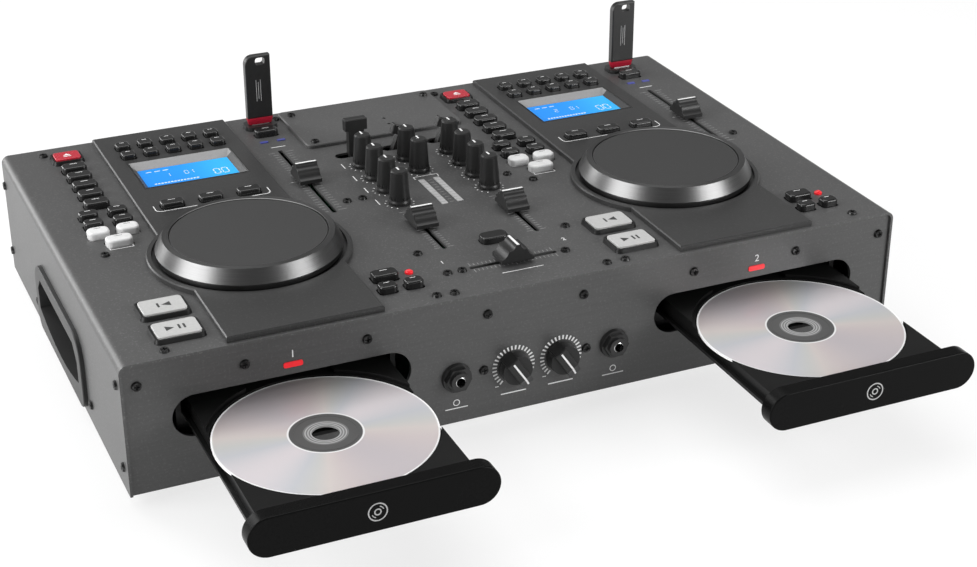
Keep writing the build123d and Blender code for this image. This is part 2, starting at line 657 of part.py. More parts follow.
# ================================ drawers and discs ==============================================
for deck, drawer_x in drawers:
    # Drawer: shallow moulded tray with a disc well, side runners and a spindle slot.
    with BuildPart() as tray:
        tray_mid = tray_front + tray_len / 2
        disc_cy = front + disc_y
        with BuildSketch(Plane.XY.offset(floor + tray_low)):
            with Locations((drawer_x, tray_mid)):
                Rectangle(tray_w, tray_len)
        extrude(amount=tray_top - tray_low)
        fillet(tray.edges().filter_by(Axis.Z), 1.0)
        with BuildSketch(Plane.XY.offset(floor + tray_top)):
            for s in (-1, 1):
                with Locations((drawer_x + s * (tray_w / 2 - corner_w / 2), disc_cy + corner_y + corner_d / 2)):
                    Rectangle(corner_w, corner_d)
            with Locations((drawer_x, disc_cy)):
                Circle(disc_r + 2.8, mode=Mode.SUBTRACT)
        extrude(amount=corner_rise)
        with BuildSketch(Plane.XY.offset(floor + tray_low)):
            with Locations((drawer_x, tray_mid)):
                Rectangle(tray_rail_w, tray_len)
        extrude(amount=2.0)
        with BuildSketch(Plane.XY.offset(floor + disc_z - 0.3)):
            with Locations((drawer_x, disc_cy)):
                Circle(disc_r + 0.8)
        extrude(amount=5, mode=Mode.SUBTRACT)
        with BuildSketch(Plane.XY.offset(floor + disc_z - 1.5)):
            with Locations((drawer_x, disc_cy)):
                Circle(small_well_r)
        extrude(amount=5, mode=Mode.SUBTRACT)
        with BuildSketch(Plane.XY.offset(floor + tray_low)):
            with Locations((drawer_x, tray_mid - 1)):
                Rectangle(tray_w - 12, tray_len - 10)
        extrude(amount=40.2 - tray_low, mode=Mode.SUBTRACT)
        with BuildSketch(Plane.XY.offset(floor + tray_low)):
            with Locations((drawer_x + 15, disc_cy)):
                SlotOverall(76, 11.4)
        extrude(amount=10, mode=Mode.SUBTRACT)
    tray.part.label = f"tray_{deck}"
    export_step(tray.part, f"parts/tray_{deck}.step")

    # Round-ended fascia clipped to the front of the drawer.
    with BuildPart() as bezel:
        with BuildSketch(Plane.XZ.offset(-tray_front)):
            with Locations((drawer_x, floor + bezel_z)):
                SlotOverall(bezel_w, bezel_h)
        extrude(amount=bezel_t)
        fillet(bezel.faces().sort_by(Axis.Y)[0].edges(), 0.8)
    bezel.part.label = f"tray_bezel_{deck}"
    export_step(bezel.part, f"parts/tray_bezel_{deck}.step")

    # Disc with its clamping hole and the moulded stacking ring.
    with BuildPart() as disc:
        with BuildSketch(Plane.XY.offset(floor + disc_z)):
            with Locations((drawer_x, disc_cy)):
                Circle(disc_r)
                Circle(disc_bore_r, mode=Mode.SUBTRACT)
        extrude(amount=disc_t)
        with BuildSketch(Plane.XY.offset(floor + disc_z + disc_t)):
            with Locations((drawer_x, disc_cy)):
                Circle(17.6)
                Circle(16.8, mode=Mode.SUBTRACT)
        extrude(amount=0.15)
    disc.part.label = f"disc_{deck}"
    export_step(disc.part, f"parts/disc_{deck}.step")

# ================================ jog wheels =====================================================
for deck, deck_x in decks:
    jog_axis = Location((deck_x, front + jog_y, 0))
    # Bevelled metal ring with a web and a shaft, turned in one piece.
    with BuildPart() as jog_wheel:
        with BuildSketch(Plane.XZ):
            with BuildLine():
                Polyline((0, plate_z + 6.5), (0, plate_z + 8.4), (46.3, plate_z + 8.4),
                         (46.3, plate_z + jog_rise - 0.2), (46.7, plate_z + jog_rise),
                         (jog_top_r, plate_z + jog_rise), (jog_r, plate_z + 2.6), (jog_r, plate_z + 2.0),
                         (53.8, plate_z + 2.0), (53.8, plate_z - 1.2), (51.6, plate_z - 1.2),
                         (49.0, plate_z + 6.5), close=True)
            make_face()
        revolve(axis=Axis.Z)
        with BuildSketch(Plane.XY.offset(top - 9)):
            Circle(shaft_r + 1)
        extrude(amount=plate_z + 7 - top + 9)
    jog_wheel.part.label = f"jog_wheel_{deck}"
    jog_wheel.part.locate(jog_axis)
    export_step(jog_wheel.part, f"parts/jog_wheel_{deck}.step")

    # Touch pad on the wheel.
    with BuildPart() as jog_pad:
        with BuildSketch(Plane.XY.offset(plate_z + 8.4)):
            Circle(pad_r)
        extrude(amount=jog_rise - 8.4 - 0.4)
        chamfer(jog_pad.faces().sort_by(Axis.Z)[-1].edges(), 0.4)
    jog_pad.part.label = f"jog_pad_{deck}"
    jog_pad.part.locate(jog_axis)
    export_step(jog_pad.part, f"parts/jog_pad_{deck}.step")

# ================================ keys ===========================================================
# A key is a cap with a rounded top, standing in its hole on a flange under the sheet.
# Each set: the keys, the face they stand on, their rise above it, corner radius and edge radius.
key_sets = [("black_keys", black_keys, top, key_h, 3.0, 1.3),
            ("white_keys", white_keys, top, key_h, 3.6, 1.5),
            ("memory_keys", memory_keys, plate_z, plate_key_h, 2.4, 1.1),
            ("eject_key", [eject_key], top, big_key_h, 2.4, 0.5),
            ("cue_key", [cue_key], top, big_key_h, 2.4, 0.4),
            ("play_key", [play_key], top, big_key_h, 2.4, 0.4)]
flange_gap, flange_t = 0.2, 1.4
for deck, deck_x in decks:
    for name, keys, face_z, rise, corner_r, edge_r in key_sets:
        with BuildPart() as key_set:
            with BuildSketch(Plane.XY.offset(top - sheet - flange_gap - flange_t)):
                for x, y, w, d in keys:
                    with Locations((deck_x + x, front + y)):
                        RectangleRounded(w + 2.0, d + 2.0, corner_r)
            extrude(amount=flange_t)
            with BuildSketch(Plane.XY.offset(top - sheet - flange_gap)):
                for x, y, w, d in keys:
                    with Locations((deck_x + x, front + y)):
                        RectangleRounded(w, d, corner_r)
            extrude(amount=face_z - top + sheet + flange_gap + rise)
            fillet(key_set.faces().filter_by(Axis.Z).group_by(Axis.Z)[-1].edges(), edge_r)
        key_set.part.label = f"{name}_{deck}"
        export_step(key_set.part, f"parts/{name}_{deck}.step")

with BuildPart() as mix_cue_key:
    x, y, w, d = mix_key
    with BuildSketch(Plane.XY.offset(top - sheet - 1.6)):
        with Locations((x, front + y)):
            RectangleRounded(w + 2, d + 2, 4.5)
    extrude(amount=1.4)
    with BuildSketch(Plane.XY.offset(top - sheet - 0.2)):
        with Locations((x, front + y)):
            RectangleRounded(w, d, 3.8)
    extrude(amount=sheet + 0.2 + 4.0)
    fillet(mix_cue_key.faces().sort_by(Axis.Z)[-1].edges(), 1.0)
mix_cue_key.part.label = "mix_cue_key"
export_step(mix_cue_key.part, "parts/mix_cue_key.step")

# ================================ faders =========================================================
# Fader cap: a narrow ridge between two hollowed flanks, on a flat stem through the slot.
cap_len, cap_w, cap_h, cap_lift = 20.4, 14.4, 12.6, 1.8
fader_list = [(f"pitch_fader_{deck}", deck_x + fader_x, fader_y, 90) for deck, deck_x in decks]
fader_list += [("channel_fader_a", -channel_x, channel_y + channel_rest, 90),
               ("channel_fader_b", channel_x, channel_y + channel_rest, 90),
               ("crossfader", 0.0, cross_y, 0)]
for name, x, y, turn in fader_list:
    with BuildPart() as fader:
        with BuildSketch(Plane.XZ) as profile:
            with BuildLine():
                half = cap_len / 2
                Line((-half, cap_lift), (half, cap_lift))
                Line((half, cap_lift), (half, 4.2))
                ThreePointArc((half, 4.2), (half - 2.9, 6.2), (half - 4.4, 9.4))
                ThreePointArc((half - 4.4, 9.4), (half - 7.2, 9.9), (1.5, cap_h))
                Line((1.5, cap_h), (-1.5, cap_h))
                ThreePointArc((-1.5, cap_h), (7.2 - half, 9.9), (4.4 - half, 9.4))
                ThreePointArc((4.4 - half, 9.4), (2.9 - half, 6.2), (-half, 4.2))
                Line((-half, 4.2), (-half, cap_lift))
            make_face()
        extrude(amount=cap_w / 2, both=True)
        fillet(fader.faces().filter_by(Axis.Y).edges(), 0.4)
        with BuildSketch(Plane.XY.offset(-10)):
            Rectangle(8.0, 1.6)
        extrude(amount=10 + cap_lift)
    fader.part.label = name
    fader.part.locate(Location((x, front + y, top), (0, 0, turn)))
    export_step(fader.part, f"parts/{name}.step")

# Left input selector: a broad lever head on a flat neck that slides along its slot.
head_w, head_d = 15.4, 6.0
with BuildPart() as selector_a:
    with BuildSketch(Plane.XY.offset(-8)):
        Rectangle(9.0, 5.0)
    extrude(amount=9)
    with BuildSketch(Plane.XY.offset(1.0)):
        Rectangle(10.5, 5.0)
    extrude(amount=17)
    with BuildSketch(Plane.XY.offset(17.4)):
        RectangleRounded(head_w, head_d, 1.0)
    extrude(amount=7.8)
    fillet(selector_a.faces().sort_by(Axis.Z)[-1].edges(), 0.8)
selector_a.part.label = "selector_a"
selector_a.part.locate(Location((selector_at, front + selector_y, top)))
export_step(selector_a.part, "parts/selector_a.step")

# Middle and right selectors: shorter levers that tip about a round pivot under the cover.
for name, x in zip(("selector_mid", "selector_b"), toggle_x):
    with BuildPart() as toggle:
        with BuildSketch(Plane.XZ):
            Circle(3.0)
        extrude(amount=3.2, both=True)
        with BuildSketch(Plane.XY):
            Rectangle(6.0, 5.0)
        extrude(amount=17)
        with BuildSketch(Plane.XY.offset(15.0)):
            RectangleRounded(head_w, head_d, 1.0)
        extrude(amount=6.5)
        fillet(toggle.faces().sort_by(Axis.Z)[-1].edges(), 0.8)
    toggle.part.label = name
    toggle.part.locate(Location((x, front + selector_y, top - toggle_pivot), (0, toggle_tip, 0)))
    export_step(toggle.part, f"parts/{name}.step")

# ================================ knobs ==========================================================
# Tall fluted knobs of the mixer, each on its shaft.
knob_names = ["gain_a", "high_a", "mid_a", "low_a", "mic_high", "mic_low", "gain_b", "high_b", "mid_b", "low_b"]
for name, (x, y) in zip(knob_names, mix_knobs):
    with BuildPart() as knob:
        with BuildSketch(Plane.XZ):
            with BuildLine():
                Polyline((0, 1.0), (knob_foot_r + 0.6, 1.0), (knob_foot_r + 0.5, 2.0), (knob_foot_r, 3.0),
                         (knob_top_r, knob_h - 0.8), (knob_top_r - 0.8, knob_h), (0, knob_h), close=True)
            make_face()
        revolve(axis=Axis.Z)
        with BuildSketch(Plane.XY.offset(3.6)):
            with PolarLocations(knob_foot_r + 0.35, 16):
                Circle(0.85)
        extrude(amount=knob_h - 5.6, taper=3.5, mode=Mode.SUBTRACT)
        with BuildSketch(Plane.XY.offset(-8)):
            Circle(shaft_r)
        extrude(amount=10)
    knob.part.label = f"knob_{name}"
    knob.part.locate(Location((x, front + y, top)))
    export_step(knob.part, f"parts/knob_{name}.step")

# Pointer knobs of the front panel: round foot, straight fin that falls away to its nose.
for name, (x, z) in zip(("mic_dial", "phones_dial"), dials):
    with BuildPart() as dial:
        with BuildSketch(Plane.XY.offset(1.0)):
            Circle(9.6)
        extrude(amount=5.6, taper=5)
        with BuildSketch(Plane.XZ):
            with BuildLine():
                Polyline((-10.6, 1.0), (12.6, 1.0), (12.9, 5.2), (4.6, 11.0), (-9.8, 11.0), close=True)
            make_face()
        extrude(amount=3.9, both=True)
        fillet(dial.edges().group_by(Axis.Z)[-1], 0.8)
        with BuildSketch(Plane.XY.offset(-9)):
            Circle(shaft_r)
        extrude(amount=12)
    dial.part.label = name
    dial.part.locate(Location(Plane((x, front, floor + z), x_dir=(0.56, 0, -0.83), z_dir=(0, -1, 0))))
    export_step(dial.part, f"parts/{name}.step")

# ================================ memory sticks ==================================================
stick_w, stick_t, stick_h = 17.6, 5.4, 51.4
collar_z = 7.4          # foot of the body, above the cover
for deck, deck_x in decks:
    with BuildPart() as stick:
        with BuildSketch(Plane.XZ) as side:
            with Locations((0, (stick_h + collar_z) / 2)):
                Rectangle(stick_w, stick_h - collar_z)
            corners = side.vertices().group_by(Axis.Y)[-1].sort_by(Axis.X)
            fillet(corners[0], 6.0)
            fillet(corners[-1], 3.2)
        extrude(amount=stick_t / 2, both=True)
        fillet(stick.faces().filter_by(Axis.Y).edges(), 0.8)
        with BuildSketch(Plane.XZ):
            with Locations((1.6, stick_h - 4.0)):
                RectangleRounded(6.6, 5.0, 1.8)
        extrude(amount=stick_t, both=True, mode=Mode.SUBTRACT)
        with BuildSketch(Plane.XY.offset(collar_z)):
            RectangleRounded(stick_w - 0.6, stick_t - 0.2, 1.2)
        extrude(amount=-4.6, taper=14)
        with BuildSketch(Plane.XY.offset(3.2)):
            Rectangle(12.1, 4.5)
        extrude(amount=-14)
    stick.part.label = f"memory_stick_{deck}"
    stick.part.locate(Location((deck_x + stick_x, front + stick_y, top)))
    export_step(stick.part, f"parts/memory_stick_{deck}.step")
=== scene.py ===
import math

import bmesh
import bpy
from mathutils import Matrix, Vector


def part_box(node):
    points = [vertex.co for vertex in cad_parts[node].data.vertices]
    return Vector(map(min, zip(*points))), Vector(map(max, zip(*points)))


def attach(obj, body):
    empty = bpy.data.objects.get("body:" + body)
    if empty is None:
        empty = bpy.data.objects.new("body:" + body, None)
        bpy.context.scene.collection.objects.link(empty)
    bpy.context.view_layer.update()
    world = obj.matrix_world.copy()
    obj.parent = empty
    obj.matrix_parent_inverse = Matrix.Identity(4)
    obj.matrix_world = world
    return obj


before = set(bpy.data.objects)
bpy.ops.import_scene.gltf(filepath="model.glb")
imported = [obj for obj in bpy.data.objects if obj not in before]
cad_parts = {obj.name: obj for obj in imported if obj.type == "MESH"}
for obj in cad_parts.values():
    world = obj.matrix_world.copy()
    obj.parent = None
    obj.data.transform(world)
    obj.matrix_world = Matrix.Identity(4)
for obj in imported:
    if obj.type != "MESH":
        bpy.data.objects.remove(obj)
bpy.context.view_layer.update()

# ---- Camera -------------------------------------------------------------------------------------
# The console is seen from its front left corner and from above, as one looks down on it on a
# table from a good metre away, through a long lens with no shift.
MM = 0.001
PICTURE_WIDTH = 977                          # pixels
FOCAL_PIXELS = 1878.4
SENSOR_WIDTH = 36.0                          # millimetres
EYE = Vector((-412.03, -952.15, 560.64)) * MM
LOOKS_DOWN, LOOKS_RIGHT = 26.5835, 24.0385   # degrees
camera = bpy.data.objects.new("camera", bpy.data.cameras.new("camera"))
bpy.context.scene.collection.objects.link(camera)
camera.data.sensor_width = SENSOR_WIDTH
camera.data.lens = FOCAL_PIXELS / PICTURE_WIDTH * SENSOR_WIDTH
camera.location = EYE
camera.rotation_euler = (math.radians(90 - LOOKS_DOWN), 0, math.radians(-LOOKS_RIGHT))
bpy.context.scene.camera = camera
bpy.context.scene.view_settings.view_transform = "Standard"

# ---- Studio -------------------------------------------------------------------------------------
# A pale sweep under large soft boxes: a broad one overhead and a little behind, a strong one on the
# left side, a strip at the back left that rims the edges, and a low one at the front right.
# The room is bright at the sweep and dim overhead.


class Value:
    """One socket of a material. Python's operators on it add the Math nodes that work it out."""

    def __init__(self, tree, socket=None):
        self.tree = tree
        self.socket = socket

    def node(self, kind, settings=None, sockets=None, out=0):
        """Adds a node: its settings first, a ramp's stops among them, then its sockets."""
        made = self.tree.nodes.new("ShaderNode" + kind)
        for name, setting in (settings or {}).items():
            if name == "stops":
                points = made.color_ramp.elements
                while len(points) < len(setting):
                    points.new(1.0)
                for point, (where, shade) in zip(points, setting):
                    point.position = where
                    point.color = shade if isinstance(shade, tuple) else (shade, shade, shade, 1)
            else:
                setattr(made, name, setting)
        for name, value in (sockets or {}).items():
            self.feed(made.inputs[name], value)
        return Value(self.tree, made.outputs[out])

    def feed(self, socket, value):
        """Links a value to a socket, or sets the socket to a number or a colour."""
        if isinstance(value, Value):
            self.tree.links.new(value.socket, socket)
        else:
            socket.default_value = value

    def apply(self, operation, other=0.0):
        return self.node("Math", {"operation": operation}, {0: self, 1: other})

    def __add__(self, other):
        return self.apply("ADD", other)

    __radd__ = __add__

    def __sub__(self, other):
        return self.apply("SUBTRACT", other)

    def __rsub__(self, other):
        return self.node("Math", {"operation": "SUBTRACT"}, {0: other, 1: self})

    def __mul__(self, other):
        return self.apply("MULTIPLY", other)

    __rmul__ = __mul__

    def __pow__(self, other):
        return self.apply("POWER", other)

    def __gt__(self, other):
        return self.apply("GREATER_THAN", other)

    def __lt__(self, other):
        return self.apply("LESS_THAN", other)

    def ease(self, low, high):
        """0 below low, 1 above high, and a smooth step between them."""
        settings = {"interpolation_type": "SMOOTHSTEP"}
        return self.node("MapRange", settings, {"Value": self, "From Min": low, "From Max": high})

    def tint(self, low, high):
        """A colour that goes from low, where this value is 0, to high, where it is 1."""
        return self.node("Mix", {"data_type": "RGBA"}, {0: self, 6: low, 7: high}, out=2)


def grey(level):
    return (level, level, level, 1)


world = bpy.data.worlds.new("pale room")
bpy.context.scene.world = world
world.use_nodes = True
room = Value(world.node_tree)
to_camera = room.node("LightPath", out=0)
toward = room.node("TexCoord", out=0)
height = room.node("SeparateXYZ", None, {0: toward}, out=2).apply("MAXIMUM", 0.0)
ROOM_DIM, ROOM_SWEEP = 0.14, 0.60
around = ROOM_DIM + (1.0 - height).apply("MAXIMUM", 0.0) ** 4.0 * ROOM_SWEEP
shell = world.node_tree.nodes["Background"]
room.feed(shell.inputs["Strength"], to_camera + around * (1.0 - to_camera))
shell.inputs["Color"].default_value = grey(1.0)

CORNERS = ((-1, -1), (1, -1), (1, 1), (-1, 1))     # of a rectangle, anticlockwise
FLOOR_HALF = 4.0
PAPER_GLOW = 0.72
floor_mesh = bpy.data.meshes.new("floor")
floor_mesh.from_pydata([(a * FLOOR_HALF, b * FLOOR_HALF, 0) for a, b in CORNERS], [], [(0, 1, 2, 3)])
floor = bpy.data.objects.new("floor", floor_mesh)
bpy.context.scene.collection.objects.link(floor)
sweep = bpy.data.materials.new("sweep")
sweep.use_nodes = True
paper = Value(sweep.node_tree)
camera_ray, glossy_ray, transmission_ray = [paper.node("LightPath", out=kind) for kind in (0, 3, 4)]
seen = (camera_ray + glossy_ray + transmission_ray).apply("MINIMUM", 1.0)
glow = paper.node("Emission", None, {"Color": grey(1.0), "Strength": 1.0})
matt = paper.node("BsdfDiffuse", None, {"Color": grey(0.9)})
both = paper.node("MixShader", None, {0: seen * PAPER_GLOW, 1: matt, 2: glow})
paper.feed(sweep.node_tree.nodes["Material Output"].inputs["Surface"], both)
floor_mesh.materials.append(sweep)


def soft_box(name, place, aim, size, watts):
    lamp = bpy.data.lights.new(name, "AREA")
    lamp.shape = "RECTANGLE"
    lamp.size, lamp.size_y = size
    lamp.energy = watts
    holder = bpy.data.objects.new(name, lamp)
    holder.location = place
    holder.rotation_euler = (Vector(aim) - Vector(place)).to_track_quat("-Z", "Y").to_euler()
    bpy.context.scene.collection.objects.link(holder)


soft_box("overhead box", (0.05, 0.45, 1.4), (0, 0, 0.08), (1.7, 1.1), 17.5)
soft_box("left box", (-1.3, 0.0, 0.5), (-0.2, 0, 0.05), (0.9, 1.2), 20)
soft_box("front right box", (0.95, -1.0, 0.55), (0.15, 0, 0.05), (0.8, 0.5), 15)
soft_box("back left strip", (-0.85, 1.25, 0.60), (0, 0.05, 0.09), (0.45, 1.1), 9)

# ---- Cover, deck plates, name plate and back ----------------------------------------------------
# Folded steel sheet with a fine charcoal powder coat: a dark grey body with a faint metallic
# fleck, an orange-peel skin and slightly polished patches. The back panel has the same coat.
case_low, case_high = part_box("top_cover")
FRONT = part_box("front_panel")[0].y
TOP = case_high.z
BASE = case_low.z


def start_material(name):
    """A new material with its Principled shader, and the place on the object in metres."""
    material = bpy.data.materials.new(name)
    material.use_nodes = True
    shader = material.node_tree.nodes["Principled BSDF"]
    place = Value(material.node_tree).node("TexCoord", out=3)
    return material, shader, place


def set_finish(place, shader, **sockets):
    for name, value in sockets.items():
        place.feed(shader.inputs[name.replace("_", " ")], value)


def dress(material, *nodes):
    for name in nodes:
        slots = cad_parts[name].data.materials
        slots.clear()
        slots.append(material)


def speckle(place, size, detail=2.0):
    """Even noise from 0 to 1 whose spots are about that many metres across."""
    return place.node("TexNoise", None, {"Vector": place, "Scale": 0.5 / size, "Detail": detail})


def powder_coat(name, shade, roughness):
    material, shader, place = start_material(name)
    clouds = speckle(place, 0.06, 3)
    peel = speckle(place, 0.0007, 2)
    fleck = speckle(place, 0.0006, 1).ease(0.58, 0.72)
    tone = clouds * 0.20 + fleck * 0.50 + peel * 0.30
    bump = place.node("Bump", None, {"Strength": 0.16, "Distance": 0.00012, "Height": peel})
    set_finish(place, shader, Base_Color=tone.tint(grey(shade * 0.66), grey(shade * 1.75)),
               Roughness=roughness + (clouds - 0.5) * 0.12 + (peel - 0.5) * 0.08,
               Metallic=0.22 + fleck * 0.2, Specular_IOR_Level=0.35, Normal=bump)
    return material


charcoal = powder_coat("charcoal powder coat", 0.084, 0.40)
dress(charcoal, "top_cover", "name_plate", "rear_panel")
plate_coat = powder_coat("deck plate coat", 0.040, 0.36)
dress(plate_coat, "deck_plates")

# ---- Front panel --------------------------------------------------------------------------------
# Steel sheet sprayed a shade lighter than the cover, with a faint sideways grain in the coat. The
# white marks on it are screen printed: a digit over each drawer and a scale round each dial.


def grained_coat(name, shade):
    material, shader, place = start_material(name)
    along = place.node("Mapping", None, {"Vector": place, "Scale": (28, 900, 900)})
    grain = place.node("TexNoise", None, {"Vector": along, "Scale": 1.0, "Detail": 3.0})
    clouds = speckle(place, 0.05, 2)
    peel = speckle(place, 0.0006, 2)
    fleck = speckle(place, 0.0007, 1).ease(0.56, 0.72)
    tone = grain * 0.35 + clouds * 0.15 + peel * 0.20 + fleck * 0.30
    relief = peel * 0.6 + grain * 0.4
    bump = place.node("Bump", None, {"Strength": 0.14, "Distance": 0.0001, "Height": relief})
    set_finish(place, shader, Base_Color=tone.tint(grey(shade * 0.68), grey(shade * 1.5)),
               Roughness=0.40 + (grain - 0.5) * 0.15, Metallic=0.3, Normal=bump)
    return material


dress(grained_coat("front panel coat", 0.072), "front_panel")

INK_LIFT = 0.05 * MM
INK_SINK = 0.03 * MM


class Print:
    """Screen print on a flat face: thin closed shapes in millimetres along the face's two axes."""

    def __init__(self, origin, across=(1, 0, 0), up=(0, 1, 0)):
        self.mesh = bmesh.new()
        self.origin = Vector(origin)
        self.across = Vector(across)
        self.up = Vector(up)
        self.out = self.across.cross(self.up)

    def shape(self, points, lift=INK_LIFT):
        """A closed prism over an outline, given anticlockwise."""
        rings = []
        for height in (-INK_SINK, lift):
            ring = []
            for u, v in points:
                where = self.origin + (self.across * u + self.up * v) * MM + self.out * height
                ring.append(self.mesh.verts.new(where))
            rings.append(ring)
        self.mesh.faces.new(reversed(rings[0]))
        self.mesh.faces.new(rings[1])
        for i in range(len(points)):
            j = (i + 1) % len(points)
            self.mesh.faces.new((rings[0][i], rings[0][j], rings[1][j], rings[1][i]))

    def bar(self, u, v, width, height, turn=0.0, lift=INK_LIFT):
        """A straight bar centred at u, v and turned by that many degrees."""
        c, s = math.cos(math.radians(turn)), math.sin(math.radians(turn))
        self.shape([(u + c * a * width / 2 - s * b * height / 2, v + s * a * width / 2 + c * b * height / 2)
                    for a, b in CORNERS], lift)

    def ticks(self, u, v, inner, outer, width, count, first, last):
        """Radial ticks round a knob, from the angle first to last, in degrees."""
        for i in range(count):
            angle = first + (last - first) * i / (count - 1)
            middle = (inner + outer) / 2
            self.bar(u + middle * math.cos(math.radians(angle)), v + middle * math.sin(math.radians(angle)),
                     outer - inner, width, angle)

    def band(self, u, v, inner, outer, first=0.0, last=360.0, steps=48):
        """Part of a flat ring, laid as short tiles that meet."""
        for i in range(steps):
            a, b = (math.radians(first + (last - first) * k / steps) for k in (i, i + 1))
            self.shape([(u + inner * math.cos(a), v + inner * math.sin(a)),
                        (u + outer * math.cos(a), v + outer * math.sin(a)),
                        (u + outer * math.cos(b), v + outer * math.sin(b)),
                        (u + inner * math.cos(b), v + inner * math.sin(b))])

    def digits(self, text, u, v, size):
        """Plain figures, centred at u, v."""
        curve = bpy.data.curves.new("figures", "FONT")
        curve.body = text
        curve.size = size * MM
        curve.extrude = INK_LIFT
        curve.align_x = "CENTER"
        curve.align_y = "CENTER"
        holder = bpy.data.objects.new("figures", curve)
        flat = bpy.data.meshes.new_from_object(holder)
        place = Matrix((self.across, self.up, self.out)).transposed().to_4x4()
        place.translation = self.origin + (self.across * u + self.up * v) * MM
        flat.transform(place)
        self.mesh.from_mesh(flat)
        bpy.data.meshes.remove(flat)
        bpy.data.objects.remove(holder)
        bpy.data.curves.remove(curve)

    def finish(self, name, body, material, slot):
        return add_piece(name, self.mesh, body, material)


def add_piece(name, mesh, body, material, smooth=None):
    """A new piece of the object from a bmesh, riding on a body."""
    bmesh.ops.recalc_face_normals(mesh, faces=mesh.faces)
    data = bpy.data.meshes.new(name)
    mesh.to_mesh(data)
    mesh.free()
    data.materials.append(material)
    piece = bpy.data.objects.new(name, data)
    bpy.context.scene.collection.objects.link(piece)
    if smooth is not None:
        data.shade_smooth()
        data.set_sharp_from_angle(angle=math.radians(smooth))
    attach(piece, body)
    return piece


def ink(name, colour, roughness=0.5):
    """Screen ink: dense, with a trace of unevenness from the mesh."""
    material, shader, place = start_material(name)
    cover = speckle(place, 0.0005, 1)
    darker = tuple(c * 0.86 for c in colour[:3]) + (1,)
    set_finish(place, shader, Base_Color=cover.tint(darker, colour), Roughness=roughness + (cover - 0.5) * 0.1)
    return material


DECK_LEFT, DECK_PITCH = -136.45, 275.0       # the left plate's middle, and the right one's from it
DRAWER_PITCH = 291.5
decks = (("a", DECK_LEFT, -DRAWER_PITCH / 2, "1"),
         ("b", DECK_LEFT + DECK_PITCH, DRAWER_PITCH / 2, "2"))
DIALS = ((-14.0, 28.9), (16.2, 28.9))
JACKS = (("microphone", -49.8, 29.6), ("headphone", 50.6, 29.9))
FIGURE_Z, FIGURE_SIZE = 66.2, 6.4
SCALE_INNER, SCALE_OUTER, SCALE_TICKS = 10.7, 13.4, 26
SIGN_Z, UNDER_DIAL_Z = 17.5, 11.8
RING_Z, UNDER_JACK_Z = 13.0, 9.4
THIN, LINE, BOLD = 0.5, 0.6, 0.7             # widths of a printed line
white_ink = ink("white print", (0.78, 0.78, 0.78, 1))
front_print = Print((0, FRONT, BASE), (1, 0, 0), (0, 0, 1))
for deck, deck_x, drawer_x, figure in decks:
    front_print.digits(figure, drawer_x, FIGURE_Z, FIGURE_SIZE)
for x, z in DIALS:
    front_print.ticks(x, z, SCALE_INNER, SCALE_OUTER, 1.0, SCALE_TICKS, -50, 230)
    front_print.bar(x - 10.5, SIGN_Z, 2.2, THIN)
    front_print.bar(x + 10.2, SIGN_Z, 2.0, THIN)
    front_print.bar(x + 10.2, SIGN_Z, THIN, 2.0)
    front_print.bar(x, UNDER_DIAL_Z, 16, BOLD)
for name, x, z in JACKS:
    front_print.band(x, RING_Z, 1.6, 2.1, 0, 360, 20)
    front_print.bar(x, UNDER_JACK_Z, 14, LINE)
front_print.finish("front_print", "console", white_ink, "panel_paint")

# ---- Screws -------------------------------------------------------------------------------------
# Pan-head machine screws of blackened steel with a cross recess, a little rubbed on the head's
# edge where the driver has been.
material, shader, place = start_material("blackened steel")
wear = speckle(place, 0.0012, 2).ease(0.45, 0.75)
set_finish(place, shader, Base_Color=wear.tint(grey(0.018), grey(0.075)), Roughness=0.42 - wear * 0.14,
           Metallic=0.85)
dress(material, "screws")

# ---- Base, feet and side grips ------------------------------------------------------------------
# The base pan is zinc-plated steel with a spangle. The feet are turned black rubber, and the grips
# are moulded black plastic with a fine spark-eroded grain.
material, shader, place = start_material("zinc plate")
spangle = place.node("TexVoronoi", None, {"Vector": place, "Scale": 160.0}, out=1)
shade = place.node("SeparateColor", None, {"Color": spangle})
set_finish(place, shader, Base_Color=shade.tint(grey(0.42), grey(0.60)), Roughness=0.34 + shade * 0.16,
           Metallic=1.0)
dress(material, "base_plate")


def moulded(name, shade, roughness, grain_size=0.0006, depth=0.00006, coat=0.0, shine=0.25):
    """Moulded plastic: even colour, a fine grain and a few duller patches."""
    material, shader, place = start_material(name)
    grain = speckle(place, grain_size, 2)
    patches = speckle(place, 0.02, 3)
    colour = shade if isinstance(shade, tuple) else (shade, shade, shade)
    low = tuple(c * 0.82 for c in colour) + (1,)
    high = tuple(min(c * 1.18, 1.0) for c in colour) + (1,)
    bump = place.node("Bump", None, {"Strength": 0.25, "Distance": depth, "Height": grain})
    set_finish(place, shader, Base_Color=(grain * 0.6 + patches * 0.4).tint(low, high),
               Roughness=roughness + (patches - 0.5) * 0.14 + (grain - 0.5) * 0.06, Coat_Weight=coat,
               Coat_Roughness=0.08, Specular_IOR_Level=shine, Normal=bump)
    return material


